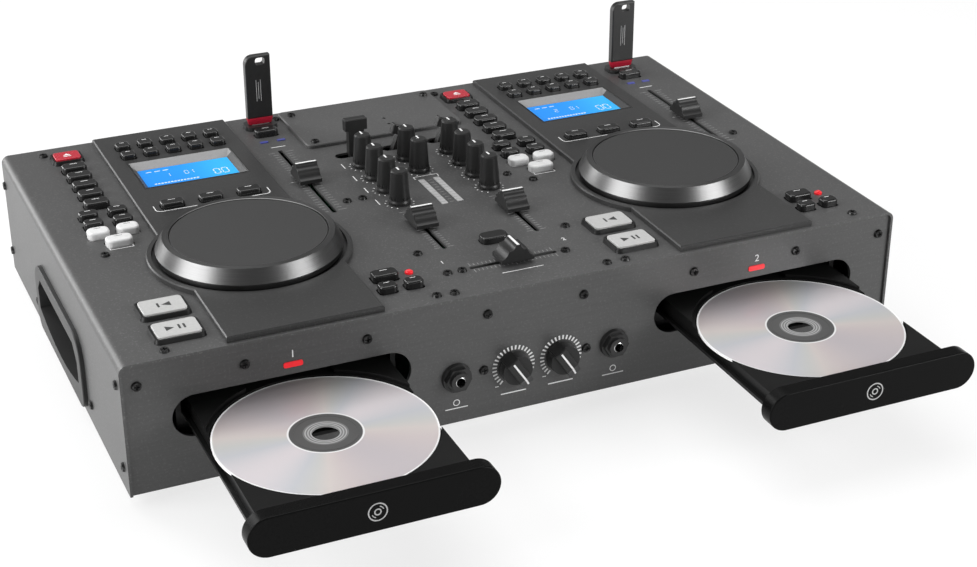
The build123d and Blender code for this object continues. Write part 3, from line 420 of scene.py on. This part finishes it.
dress(moulded("black rubber", 0.022, 0.72, 0.0012, 0.00015), "rubber_feet")
dress(moulded("grained black plastic", 0.028, 0.42, 0.0007, 0.00012), "side_grips")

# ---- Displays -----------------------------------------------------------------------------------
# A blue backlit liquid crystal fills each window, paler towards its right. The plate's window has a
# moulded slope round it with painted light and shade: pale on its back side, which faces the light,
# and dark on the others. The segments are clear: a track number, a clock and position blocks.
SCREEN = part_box("lcd_panels")
screen_y = (SCREEN[0].y + SCREEN[1].y) / 2
PLATE_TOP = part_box("deck_plates")[1].z
GLASS_W, GLASS_D, GLASS_T = 59.6, 30.6, 0.30
WINDOW_BACK = 1.2                            # the window's middle behind the glass's
SLOPE_FOOT, SLOPE_HEAD = (29.9, 15.4, 0.0), (33.0, 21.1, WINDOW_BACK)     # half sizes, shift back
SLOPE_T = 0.12
OUTLINE_X, OUTLINE_Y, OUTLINE_LINE = 34.1, 22.3, 0.9
OUTLINE_LONG, OUTLINE_SHORT = 69.0, 43.7
# A figure's segments: the middle of each, and whether it lies flat or stands. The sizes that follow
# are in parts of the figure's height.
SEGMENTS = {"a": (0, 0.5, 1, 0), "b": (0.5, 0.25, 0, 1), "c": (0.5, -0.25, 0, 1), "d": (0, -0.5, 1, 0),
            "e": (-0.5, -0.25, 0, 1), "f": (-0.5, 0.25, 0, 1), "g": (0, 0, 1, 0)}
FIGURES = {"0": "abcdef", "1": "bc", "2": "abged"}
FIGURE_STEP, FIGURE_WIDTH = 0.66, 0.46
SEGMENT_LONG, SEGMENT_THIN = 0.36, 0.09


def segment_figures(marks, text, u, v, height):
    for i, character in enumerate(text):
        for name in FIGURES[character]:
            x, y, flat, upright = SEGMENTS[name]
            marks.bar(u + (i * FIGURE_STEP + x * FIGURE_WIDTH) * height, v + y * height,
                      (SEGMENT_LONG * flat + SEGMENT_THIN * upright) * height,
                      (SEGMENT_LONG * upright + SEGMENT_THIN * flat) * height)


def display_slope(middle):
    """The thin frame that slopes from the glass up to the plate, as one closed shell."""
    mesh = bmesh.new()
    rings = []
    for (half_w, half_d, back), level in ((SLOPE_FOOT, TOP + 0.1 * MM), (SLOPE_HEAD, PLATE_TOP - 0.1 * MM)):
        for lift in (0.0, SLOPE_T):
            rings.append([mesh.verts.new((middle + a * (half_w - lift) * MM,
                                          screen_y + (back + b * (half_d - lift)) * MM, level + lift * MM))
                          for a, b in CORNERS])
    for lower, upper in ((0, 2), (2, 3), (3, 1), (1, 0)):
        for k in range(4):
            n = (k + 1) % 4
            mesh.faces.new((rings[lower][k], rings[lower][n], rings[upper][n], rings[upper][k]))
    return mesh


slope_grey, shader, place = start_material("display slope")
grain = speckle(place, 0.0007, 2)
# Painted light and shade: the back side of the slope is coloured pale as if lit, the other sides dark.
painted_lit_back = place.node("SeparateXYZ", None, {0: place}, out=1) > screen_y + 15.5 * MM
set_finish(place, shader, Roughness=0.45 - grain * 0.1, Specular_IOR_Level=0.3,
           Base_Color=painted_lit_back.tint(grain.tint(grey(0.030), grey(0.042)), grain.tint(grey(0.20), grey(0.25))))
edge_ink = ink("dark display outline", grey(0.010))
for deck, deck_x, drawer_x, figure in decks:
    middle = deck_x * MM
    panel = Print((middle, screen_y, SCREEN[1].z))
    panel.bar(0, 0, GLASS_W, GLASS_D, 0, GLASS_T * MM)
    material, shader, place = start_material(f"blue backlight {deck}")
    spots = speckle(place, 0.02, 1)
    along = place.node("SeparateXYZ", None, {0: place}, out=0)
    paler = along.ease(middle - 0.012, middle + 0.034)
    blue = (paler * 0.8 + spots * 0.2).tint((0.004, 0.16, 0.56, 1), (0.020, 0.30, 0.60, 1))
    set_finish(place, shader, Base_Color=blue, Roughness=0.12 + spots * 0.05, Emission_Color=blue,
               Emission_Strength=0.62)
    panel.finish(f"display_glass_{deck}", "console", material, "display")

    marks = Print((middle, screen_y, SCREEN[1].z + GLASS_T * MM))
    segment_figures(marks, "00", 17.5, -4.5, 8.0)
    segment_figures(marks, "01", -1.0, 2.0, 5.0)
    segment_figures(marks, figure, -13.0, 2.0, 5.0)
    for i in range(14):
        marks.bar(-24 + i * 2.1, -9.5, 1.5, 1.6)
    for i in range(3):
        marks.bar(-23.5 + i * 5.5, 10.5, 3.6, 1.0)
    clear = ink(f"clear segments {deck}", (0.62, 0.78, 0.92, 1), 0.3)
    marks.finish(f"display_segments_{deck}", "console", clear, "display")

    add_piece(f"display_slope_{deck}", display_slope(middle), "console", slope_grey)
    outline = Print((middle, screen_y, PLATE_TOP))
    for side in (-1, 1):
        outline.bar(0, WINDOW_BACK + side * OUTLINE_Y, OUTLINE_LONG, OUTLINE_LINE)
        outline.bar(side * OUTLINE_X, WINDOW_BACK, OUTLINE_LINE, OUTLINE_SHORT)
    outline.finish(f"display_outline_{deck}", "console", edge_ink, "display")
material, shader, place = start_material("dark display edge")
haze = speckle(place, 0.004, 2)
set_finish(place, shader, Base_Color=haze.tint(grey(0.02), grey(0.03)), Roughness=0.30 + haze * 0.1)
dress(material, "lcd_panels")

# ---- Jog wheels ---------------------------------------------------------------------------------
# The ring is turned aluminium with a brushed bevel and a painted sheen, brighter and darker by turns
# round it, and the pad is a soft-touch moulding with a fine dull grain and a slightly polished rim.
JOG_Y = 102.5                                # from the front panel to a wheel's axis


def round_place(place, centre):
    """Distance from an upright axis in metres, and the angle round it in radians."""
    offset = place.node("VectorMath", {"operation": "SUBTRACT"}, {0: place, 1: centre})
    parts = [offset.node("SeparateXYZ", None, {0: offset}, out=i) for i in (0, 1)]
    radius = (parts[0] * parts[0] + parts[1] * parts[1]).apply("SQRT")
    return radius, parts[1].apply("ARCTAN2", parts[0])


for deck, deck_x, drawer_x, figure in decks:
    axis = (deck_x * MM, FRONT + JOG_Y * MM, 0)
    material, shader, place = start_material(f"brushed ring {deck}")
    radius, angle = round_place(place, axis)
    turning = place.node("CombineXYZ", None, {0: radius * 9000, 1: angle * 2.2, 2: 0.0})
    lines = place.node("TexNoise", None, {"Vector": turning, "Scale": 1.0, "Detail": 2.0})
    # Painted sheen: the bevel's colour brightens and darkens by its angle round the axis, like highlights.
    painted_sheen = (angle + 0.9).apply("SINE").apply("ABSOLUTE") ** 2.0
    bump = place.node("Bump", None, {"Strength": 0.2, "Distance": 0.00003, "Height": lines})
    set_finish(place, shader, Base_Color=(lines * 0.55 + painted_sheen * 0.45).tint(grey(0.05), grey(0.22)),
               Roughness=0.27 + lines * 0.12, Metallic=1.0, Normal=bump)
    dress(material, f"jog_wheel_{deck}")
    material, shader, place = start_material(f"soft pad {deck}")
    radius = round_place(place, axis)[0]
    grain = speckle(place, 0.0005, 2)
    rim = radius.ease(0.0445, 0.0462)
    bump = place.node("Bump", None, {"Strength": 0.3, "Distance": 0.00006, "Height": grain})
    set_finish(place, shader, Base_Color=(grain * 0.7 + rim * 0.3).tint(grey(0.022), grey(0.042)),
               Roughness=0.62 - rim * 0.25, Specular_IOR_Level=0.3, Normal=bump)
    dress(material, f"jog_pad_{deck}")

# ---- Keys ---------------------------------------------------------------------------------------
# Moulded caps, glossy black, pale grey or red. Most carry a fine printed mark; on the memory keys the
# white bar at the back of the top is a painted highlight, the glint of the key's edge. The big keys
# have a play and a back-to-start sign, and the red ones an eject sign.


def solids(name):
    """Lowest and highest corner of each separate solid of a CAD node, from left to right."""
    mesh = bmesh.new()
    mesh.from_mesh(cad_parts[name].data)
    bmesh.ops.remove_doubles(mesh, verts=mesh.verts, dist=1e-6)
    waiting, boxes = set(mesh.verts), []
    while waiting:
        todo, group = [waiting.pop()], []
        while todo:
            vert = todo.pop()
            group.append(vert.co.copy())
            for edge in vert.link_edges:
                other = edge.other_vert(vert)
                if other in waiting:
                    waiting.discard(other)
                    todo.append(other)
        low = Vector(min(co[i] for co in group) for i in range(3))
        high = Vector(max(co[i] for co in group) for i in range(3))
        boxes.append((low, high))
    mesh.free()
    return sorted(boxes, key=lambda box: (round(box[0].x, 4), box[0].y))

def crown(name):
    """The middle of a node's upper side."""
    low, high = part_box(name)
    return Vector(((low.x + high.x) / 2, (low.y + high.y) / 2, high.z))


gloss_black = moulded("gloss black keys", 0.012, 0.20, 0.0008, 0.00003, 0.25, 0.3)
pale_grey = moulded("pale grey keys", (0.44, 0.44, 0.435), 0.34, 0.0006, 0.00004, 0.2)
white_cap = moulded("white keys", (0.64, 0.64, 0.64), 0.34, 0.0006, 0.00004, 0.2)
red_cap = moulded("red keys", (0.40, 0.02, 0.035), 0.28, 0.0006, 0.00003, 0.3)
dark_ink = ink("dark print", grey(0.03))
MARK_BACK, MARK_WIDTH = 0.16, 0.26           # in parts of a key's depth and width
MARK_LINE = 0.45
SIGN_BAR, SIGN_TALL = 1.2, 5.0
for deck, deck_x, drawer_x, figure in decks:
    dress(gloss_black, f"black_keys_{deck}", f"memory_keys_{deck}")
    dress(white_cap, f"white_keys_{deck}")
    dress(pale_grey, f"cue_key_{deck}", f"play_key_{deck}")
    dress(red_cap, f"eject_key_{deck}")
    # The memory keys' white bar is a painted highlight, the glint of each key's back edge; elsewhere it is
    # print.
    for name, slot, colour in ((f"black_keys_{deck}", "gloss_black", white_ink),
                               (f"memory_keys_{deck}", "gloss_black", white_ink),
                               (f"white_keys_{deck}", "white_key", dark_ink)):
        marks = Print((0, 0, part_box(name)[1].z))
        for low, high in solids(name):
            middle = (low + high) / 2 / MM
            size = (high - low) / MM
            marks.bar(middle.x, middle.y + size.y * MARK_BACK, size.x * MARK_WIDTH, MARK_LINE)
        marks.finish(f"{name}_marks", name, colour, slot)
    sign = Print(crown(f"play_key_{deck}"))
    sign.shape([(-6.0, -2.6), (-1.2, 0), (-6.0, 2.6)])
    sign.bar(1.6, 0, SIGN_BAR, SIGN_TALL)
    sign.bar(4.4, 0, SIGN_BAR, SIGN_TALL)
    sign.finish(f"play_sign_{deck}", f"play_key_{deck}", dark_ink, "grey_key")
    sign = Print(crown(f"cue_key_{deck}"))
    sign.shape([(4.6, 2.6), (-0.6, 0), (4.6, -2.6)])
    sign.bar(-2.4, 0, SIGN_BAR, SIGN_TALL)
    sign.finish(f"cue_sign_{deck}", f"cue_key_{deck}", dark_ink, "grey_key")
    sign = Print(crown(f"eject_key_{deck}"))
    sign.shape([(-2.4, -0.4), (2.4, -0.4), (0, 2.4)])
    sign.bar(0, -1.9, 4.8, 0.9)
    sign.finish(f"eject_sign_{deck}", f"eject_key_{deck}", white_ink, "red_key")
dress(gloss_black, "mix_cue_key")
dress(moulded("black key frames", 0.012, 0.32), "key_frames")

# ---- Faders, levers and knobs -------------------------------------------------------------------
# Black moulded caps with a fine grain. A white line is let into each fader's ridge and each
# knob's pointer, and the pointer knobs' line runs down over the nose.
cap_black = moulded("satin black caps", 0.016, 0.38, 0.0006, 0.00006, 0.05)
LINE_LONG, LINE_WIDE = 13.6, 1.6
for name in ("pitch_fader_a", "pitch_fader_b", "channel_fader_a", "channel_fader_b", "crossfader"):
    dress(cap_black, name)
    line = Print(crown(name))
    if name == "crossfader":
        line.bar(0, 0, LINE_WIDE, LINE_LONG)
    else:
        line.bar(0, 0, LINE_LONG, LINE_WIDE)
    line.finish(f"{name}_line", name, white_ink, "black_plastic")
knobs = sorted(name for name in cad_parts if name.startswith("knob_"))
for name in knobs:
    dress(cap_black, name)
    line = Print(crown(name))
    line.bar(0, 2.4, 1.1, 4.2)
    line.finish(f"{name}_line", name, white_ink, "black_plastic")
dress(cap_black, "selector_a", "selector_mid", "selector_b", "mic_dial", "phones_dial")
NOSE = Vector((0.56, 0, -0.83)).normalized()                  # where the dials point
POINTER_RUN = ((-8.6, 11.0), (4.6, 11.0), (12.8, 5.4))        # along the nose, and off the panel
POINTER_HALF = 0.55
BOX_FACES = ((0, 1, 3, 2), (4, 6, 7, 5), (0, 4, 5, 1), (2, 3, 7, 6), (0, 2, 6, 4), (1, 5, 7, 3))
for name, (x, z) in zip(("mic_dial", "phones_dial"), DIALS):
    foot = Vector((x * MM, FRONT, BASE + z * MM))
    side = NOSE.cross(Vector((0, -1, 0)))
    pointer = bmesh.new()
    for start, end in zip(POINTER_RUN, POINTER_RUN[1:]):
        corners = []
        for reach, rise in (start, end):
            for lift in (-0.1, 0.12):
                for edge in (-POINTER_HALF, POINTER_HALF):
                    corners.append(pointer.verts.new(foot + (NOSE * (reach + lift * 0.5) + side * edge) * MM
                                                     + Vector((0, -rise - lift, 0)) * MM))
        for face in BOX_FACES:
            pointer.faces.new([corners[k] for k in face])
    add_piece(f"{name}_pointer", pointer, name, white_ink)

# ---- Marks on the top ---------------------------------------------------------------------------
# White screen print on the cover: a scale beside every fader, a ring of ticks at every knob, and
# short lines and figures where the real console has its lettering.
FADER_X, FADER_Y = 64.9, 190.0               # a pitch fader, from the plate's middle and the front
CHANNEL_X, CHANNEL_Y = 30.0, 91.5
CROSS_Y = 31.6
MEMORY_X = -66.5                             # the white keys, from the plate's middle
METER_FIRST, METER_STEP = 122.5, 4.0
BRACKET_Y, BRACKET_HALF, BEND_R, ARM = 172.9, 33.0, 3.3, 6.0
TICK = 0.35
top_print = Print((0, FRONT, TOP))
scales = Print((0, FRONT, TOP))


def fader_scale(x, y, half, pitch, gap, short, long, sideways=False):
    """Ticks on both sides of a fader's slot, with long ones at its middle and its ends."""
    for i in range(-half, half + 1):
        length = long if i % half == 0 else short
        for side in (-1, 1):
            away = side * (gap + length / 2)
            if sideways:
                scales.bar(x + i * pitch, y + away, TICK, length)
            else:
                scales.bar(x + away, y + i * pitch, length, TICK)


for deck, deck_x, drawer_x, figure in decks:
    fader_scale(deck_x + FADER_X, FADER_Y, 13, 3.9, 3.2, 3.4, 5.4)
    top_print.bar(deck_x + FADER_X + 1.2, 250.2, 9.8, BOLD)
    top_print.bar(deck_x + MEMORY_X, 139.4, 13.6, LINE)
    for side in (-1, 1):
        top_print.bar(deck_x + MEMORY_X + side * 7.0, 140.6, LINE, 3.0)
        top_print.bar(deck_x + FADER_X + side * 9.6, FADER_Y, 1.6, THIN)
for name in knobs:
    middle = crown(name) / MM
    top_print.ticks(middle.x, middle.y - FRONT / MM, 8.3, 9.3, BOLD, 13, -60, 240)
for side in (-1, 1):
    fader_scale(side * CHANNEL_X, CHANNEL_Y, 9, 3.1, 2.6, 2.4, 3.6)
fader_scale(0, CROSS_Y, 10, 2.6, 2.6, 2.4, 3.6, sideways=True)
for i in range(10):
    scales.bar(0.0, METER_FIRST + i * METER_STEP, 2.6, 0.4)
for y in (201.6, 179.9, 159.7, 139.7):
    top_print.bar(-42.5, y, LINE, 8.0)
top_print.bar(0, 166.4, 16.0, THIN)
for side, figure in ((-1, "1"), (1, "2")):
    top_print.bar(side * 8, 164.6, THIN, 3.6)
    top_print.digits(figure, side * 39.0, 45.0, 5.0)
top_print.bar(0, 18.2, 26.0, THIN)
top_print.finish("top_print", "console", white_ink, "steel_paint")
scales.finish("fader_scales", "console", ink("dim scale print", grey(0.30)), "steel_paint")
brackets = Print((0, FRONT, PLATE_TOP))
for deck, deck_x, drawer_x, figure in decks:
    brackets.bar(deck_x, BRACKET_Y, 2 * BRACKET_HALF, LINE)
    for side, first in ((-1, 180), (1, 270)):
        brackets.band(deck_x + side * BRACKET_HALF, BRACKET_Y + BEND_R, BEND_R - LINE / 2, BEND_R + LINE / 2,
                      first, first + 90, 8)
        brackets.bar(deck_x + side * (BRACKET_HALF + BEND_R), BRACKET_Y + BEND_R + ARM / 2, LINE, ARM)
brackets.finish("loop_brackets", "console", white_ink, "steel_paint")

# ---- Meters and lamps ---------------------------------------------------------------------------
# Pale diffusing strips for the level meters, red windows over the drawers and small red and blue
# lamps beside the keys.
METER_REACH = 0.03                           # the meters lie nearer the middle than this
BLUE_LAMPS_Y = FRONT + 0.25                  # the lamps behind this are blue
METER_CELL = 0.004
lens, shader, place = start_material("diffusing lens")
across, behind = [place.node("SeparateXYZ", None, {0: place}, out=i) for i in (0, 1)]
haze = speckle(place, 0.0012, 1)
deck_lamp = across.apply("ABSOLUTE") > METER_REACH
blue_lamp = (behind > BLUE_LAMPS_Y) * deck_lamp
red_lamp = deck_lamp * (1 - blue_lamp)
cells = (behind * (1 / METER_CELL)).apply("FRACT")
gap = cells.ease(0.10, 0.02) * (1 - deck_lamp)
base = haze.tint(grey(0.36), grey(0.46))
base = gap.tint(base, grey(0.10))
base = red_lamp.tint(base, (0.62, 0.012, 0.02, 1))
base = blue_lamp.tint(base, (0.06, 0.07, 0.30, 1))
set_finish(place, shader, Base_Color=base, Roughness=0.25 + haze * 0.1,
           Emission_Color=red_lamp.tint(grey(0.0), (0.55, 0.01, 0.015, 1)), Emission_Strength=0.5)
dress(lens, "indicator_lenses")

# ---- Drawers ------------------------------------------------------------------------------------
# Black moulded trays, satin on the bed and polished on the fascia's face. Each fascia has a small
# plain disc sign where a mark is usual.
bed_black = moulded("satin tray", 0.006, 0.34, 0.0006, 0.00004, 0.0, 0.14)
fascia_black = moulded("polished fascia", 0.004, 0.26, 0.0010, 0.00002, 0.0, 0.06)
sign_ink = ink("grey print", grey(0.42))
for deck, deck_x, drawer_x, figure in decks:
    dress(bed_black, f"tray_{deck}")
    dress(fascia_black, f"tray_bezel_{deck}")
    low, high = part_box(f"tray_bezel_{deck}")
    sign = Print(((low.x + high.x) / 2, low.y, (low.z + high.z) / 2), (1, 0, 0), (0, 0, 1))
    sign.band(0, 0, 4.6, 5.3)
    sign.band(0, 0, 1.3, 2.0, 0, 360, 24)
    sign.band(0, 0, 3.0, 3.5, 20, 70, 8)
    sign.band(0, 0, 3.0, 3.5, 200, 250, 8)
    sign.finish(f"disc_sign_{deck}", f"drawer_{deck}", sign_ink, "gloss_black")

# ---- Discs --------------------------------------------------------------------------------------
# Polycarbonate over a mirror layer. The data area is silver with faint pink and green streaks along
# its radii, a painted rainbow reflection of the light. The hub is dark with fine moulded rings round
# the hole, a painted highlight in a bright line bounds it, and a painted highlight runs round the rim.
DISC_Y = -50.75                              # an open drawer's disc, from the front panel
for deck, deck_x, drawer_x, figure in decks:
    material, shader, place = start_material(f"disc mirror {deck}")
    centre = (drawer_x * MM, FRONT + DISC_Y * MM, 0)
    radius, angle = round_place(place, centre)
    far = radius * 1000
    hub = 1 - far.ease(19.4, 19.8)
    # Painted highlight: a near-white line round the hub's edge.
    ring = far.ease(19.3, 19.6) * (1 - far.ease(20.3, 20.6))
    inner = 1 - far.ease(11.8, 12.2)
    lines = (far * 4.2).apply("SINE") * 0.5 + 0.5
    # Painted highlight: the outer edge of the disc is coloured near white, with a smoother, non-metal finish.
    edge = far.ease(58.9, 59.2)
    groove = (far * 9.0).apply("SINE") * 0.5 + 0.5
    # Painted reflection: the rainbow streaks, pinker, greener and lighter by the angle round the disc.
    painted_rainbow_mask = (angle * 2.0 + 0.6).apply("SINE") * 0.5 + 0.5
    silver_with_painted_rainbow = place.node("ValToRGB", {"stops": [(0.0, (0.50, 0.46, 0.48, 1)), (0.30, (0.56, 0.50, 0.50, 1)),
                                            (0.50, (0.60, 0.55, 0.53, 1)), (0.66, (0.54, 0.54, 0.53, 1)),
                                            (0.82, (0.52, 0.53, 0.56, 1)), (1.0, (0.64, 0.60, 0.62, 1))]},
                     {0: painted_rainbow_mask})
    base = hub.tint(silver_with_painted_rainbow, inner.tint(grey(0.055), lines.tint(grey(0.10), grey(0.36))))
    base = ring.tint(base, grey(0.80))
    base = edge.tint(base, grey(0.85))
    bump = place.node("Bump", None, {"Strength": 0.05, "Distance": 0.00002, "Height": groove})
    set_finish(place, shader, Base_Color=base, Roughness=0.42 - edge * 0.2 + hub * 0.05,
               Metallic=0.45 * (1 - hub) * (1 - edge), Coat_Weight=0.25, Coat_Roughness=0.12, Normal=bump)
    dress(material, f"disc_{deck}")

# ---- Memory sticks ------------------------------------------------------------------------------
# Black plastic shells with a dark red collar at the plug, a nickel plug, and three pale lines of
# printing on the face. The collar is a separate moulding, an oblong with well rounded corners.
stick_black, shader, place = start_material("stick shell and plug")
grain = speckle(place, 0.0008, 2)
plug = place.node("SeparateXYZ", None, {0: place}, out=2) < TOP + 3.1 * MM
shell = grain.tint(grey(0.011), grey(0.016))
set_finish(place, shader, Base_Color=plug.tint(shell, grey(0.56)), Metallic=plug,
           Roughness=0.28 + grain * 0.06)
collar_red = moulded("crimson collar", (0.36, 0.012, 0.03), 0.3)
COLLAR = ((2.75, 7.7, 2.1), (3.2, 8.1, 2.4), (7.0, 9.0, 3.2), (7.6, 8.9, 3.1))     # height, half sizes
COLLAR_STEPS = 32
PRINT_Z, PRINT_LONG = 27.0, 15.0


def stick_collar(x, y):
    mesh = bmesh.new()
    rings = []
    for height, half_w, half_d in COLLAR:
        ring = []
        for i in range(COLLAR_STEPS):
            turn = 2 * math.pi * i / COLLAR_STEPS
            c, s = math.cos(turn), math.sin(turn)
            reach = (abs(c) ** 5 + abs(s) ** 5) ** -0.2 * MM
            ring.append(mesh.verts.new((x + c * reach * half_w, y + s * reach * half_d, TOP + height * MM)))
        rings.append(ring)
    for lower, upper in zip(rings, rings[1:]):
        for i in range(COLLAR_STEPS):
            j = (i + 1) % COLLAR_STEPS
            mesh.faces.new((lower[i], lower[j], upper[j], upper[i]))
    mesh.faces.new(rings[0][::-1])
    mesh.faces.new(rings[-1])
    return mesh


for deck, deck_x, drawer_x, figure in decks:
    name = f"memory_stick_{deck}"
    dress(stick_black, name)
    middle = crown(name)
    middle.y = (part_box(name)[0].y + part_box(name)[1].y) / 2
    face = Print((middle.x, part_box(name)[0].y, TOP), (1, 0, 0), (0, 0, 1))
    for i in range(3):
        face.bar(-1.8 + i * 1.5, PRINT_Z, 0.35, PRINT_LONG - 3.0 * (i % 2))
    face.finish(f"{name}_print", name, sign_ink, "black_plastic")
    add_piece(f"{name}_collar", stick_collar(middle.x, middle.y), name, collar_red, 40)

# ---- Sockets ------------------------------------------------------------------------------------
# Black moulded sockets. A nickel sleeve lines each jack, and each phono socket at the back has a
# nickel barrel round a coloured insulator.
dress(moulded("socket black", 0.020, 0.32, 0.0007, 0.00004, 0.2), "sockets")
BACK = case_high.y
nickel, shader, place = start_material("nickel plate")
rubs = speckle(place, 0.0008, 3)
set_finish(place, shader, Base_Color=rubs.tint(grey(0.50), grey(0.68)), Roughness=0.16 + rubs * 0.16,
           Metallic=1.0)


def turned(outline, foot, out, steps=40):
    """A closed turned ring: the outline's (radius, height) points in millimetres, spun round an axis."""
    mesh = bmesh.new()
    out = Vector(out)
    side = out.orthogonal().normalized()
    other = out.cross(side)
    loops = []
    for i in range(steps):
        angle = 2 * math.pi * i / steps
        away = side * math.cos(angle) + other * math.sin(angle)
        loops.append([mesh.verts.new(Vector(foot) + (away * r + out * h) * MM) for r, h in outline])
    for i in range(steps):
        first, second = loops[i], loops[(i + 1) % steps]
        for k in range(len(outline)):
            n = (k + 1) % len(outline)
            mesh.faces.new((first[k], first[n], second[n], second[k]))
    return mesh


SLEEVE = ((3.15, -8), (3.15, 6.6), (2.75, 6.9), (2.75, -8))
BARREL = ((4.21, 1.3), (4.21, 8.6), (3.4, 8.95), (4.2, 9.1), (4.5, 8.7), (4.5, 1.3))
BARREL_REACH = 9.0
PHONO_COLUMNS, PHONO_LEFT, PHONO_PITCH = 6, -72.0, 24.0
PHONO_ROWS = (30.0, 52.0)
INLET_X, INLET_Z = 178.0, 38.0
INLET_PINS = ((-7, -2), (7, -2), (0, 3))
PIN_SIZE, PIN_DEPTH, PIN_EDGE = Vector((2.2, 14.2, 4.7)), 12.9, 0.3
for name, x, z in JACKS:
    sleeve = turned(SLEEVE, (x * MM, FRONT, BASE + z * MM), (0, -1, 0))
    add_piece(f"{name}_sleeve", sleeve, "console", nickel, 35)
insulators = [ink("red insulator", (0.55, 0.02, 0.02, 1), 0.35),
              ink("white insulator", (0.75, 0.75, 0.73, 1), 0.35)]
for column in range(PHONO_COLUMNS):
    for row, insulator in enumerate(insulators):
        x, z = (PHONO_LEFT + PHONO_PITCH * column) * MM, BASE + PHONO_ROWS[row] * MM
        barrel = turned(BARREL, (x, BACK, z), (0, 1, 0))
        add_piece(f"phono_barrel_{column}_{row}", barrel, "console", nickel, 35)
        core = Print((x, BACK + BARREL_REACH * MM, z), (-1, 0, 0), (0, 0, 1))
        core.band(0, 0, 1.75, 3.5, 0, 360, 32)
        core.finish(f"phono_core_{column}_{row}", "console", insulator, "black_plastic")
for i, (dx, dz) in enumerate(INLET_PINS):
    blade = bmesh.new()
    bmesh.ops.create_cube(blade, size=1.0)
    bmesh.ops.scale(blade, vec=PIN_SIZE * MM, verts=blade.verts)
    centre = Vector(((INLET_X + dx) * MM, BACK - PIN_DEPTH * MM, BASE + (INLET_Z + dz) * MM))
    bmesh.ops.translate(blade, vec=centre, verts=blade.verts)
    bmesh.ops.bevel(blade, geom=blade.edges[:], offset=PIN_EDGE * MM, segments=2, affect="EDGES")
    add_piece(f"inlet_pin_{i}", blade, "console", nickel, 35)
back_print = Print((0, BACK, BASE), (-1, 0, 0), (0, 0, 1))
for column in range(PHONO_COLUMNS):
    back_print.digits(str(column + 1), -(PHONO_LEFT + PHONO_PITCH * column), 64.0, 5.0)
back_print.bar(12, 69.5, 132, THIN)
back_print.finish("back_print", "console", white_ink, "steel_paint")

# ---- Inside -------------------------------------------------------------------------------------
# Green boards with solder and parts, and grey moulded drive frames, seen only through the slots.
material, shader, place = start_material("solder mask")
tracks = place.node("TexVoronoi", {"feature": "DISTANCE_TO_EDGE"}, {"Vector": place, "Scale": 260.0})
copper = tracks.ease(0.10, 0.06)
set_finish(place, shader, Base_Color=copper.tint((0.01, 0.10, 0.04, 1), (0.03, 0.22, 0.08, 1)),
           Roughness=0.35)
dress(material, "circuit_boards")
dress(moulded("drive grey", 0.035, 0.5), "drive_frames")
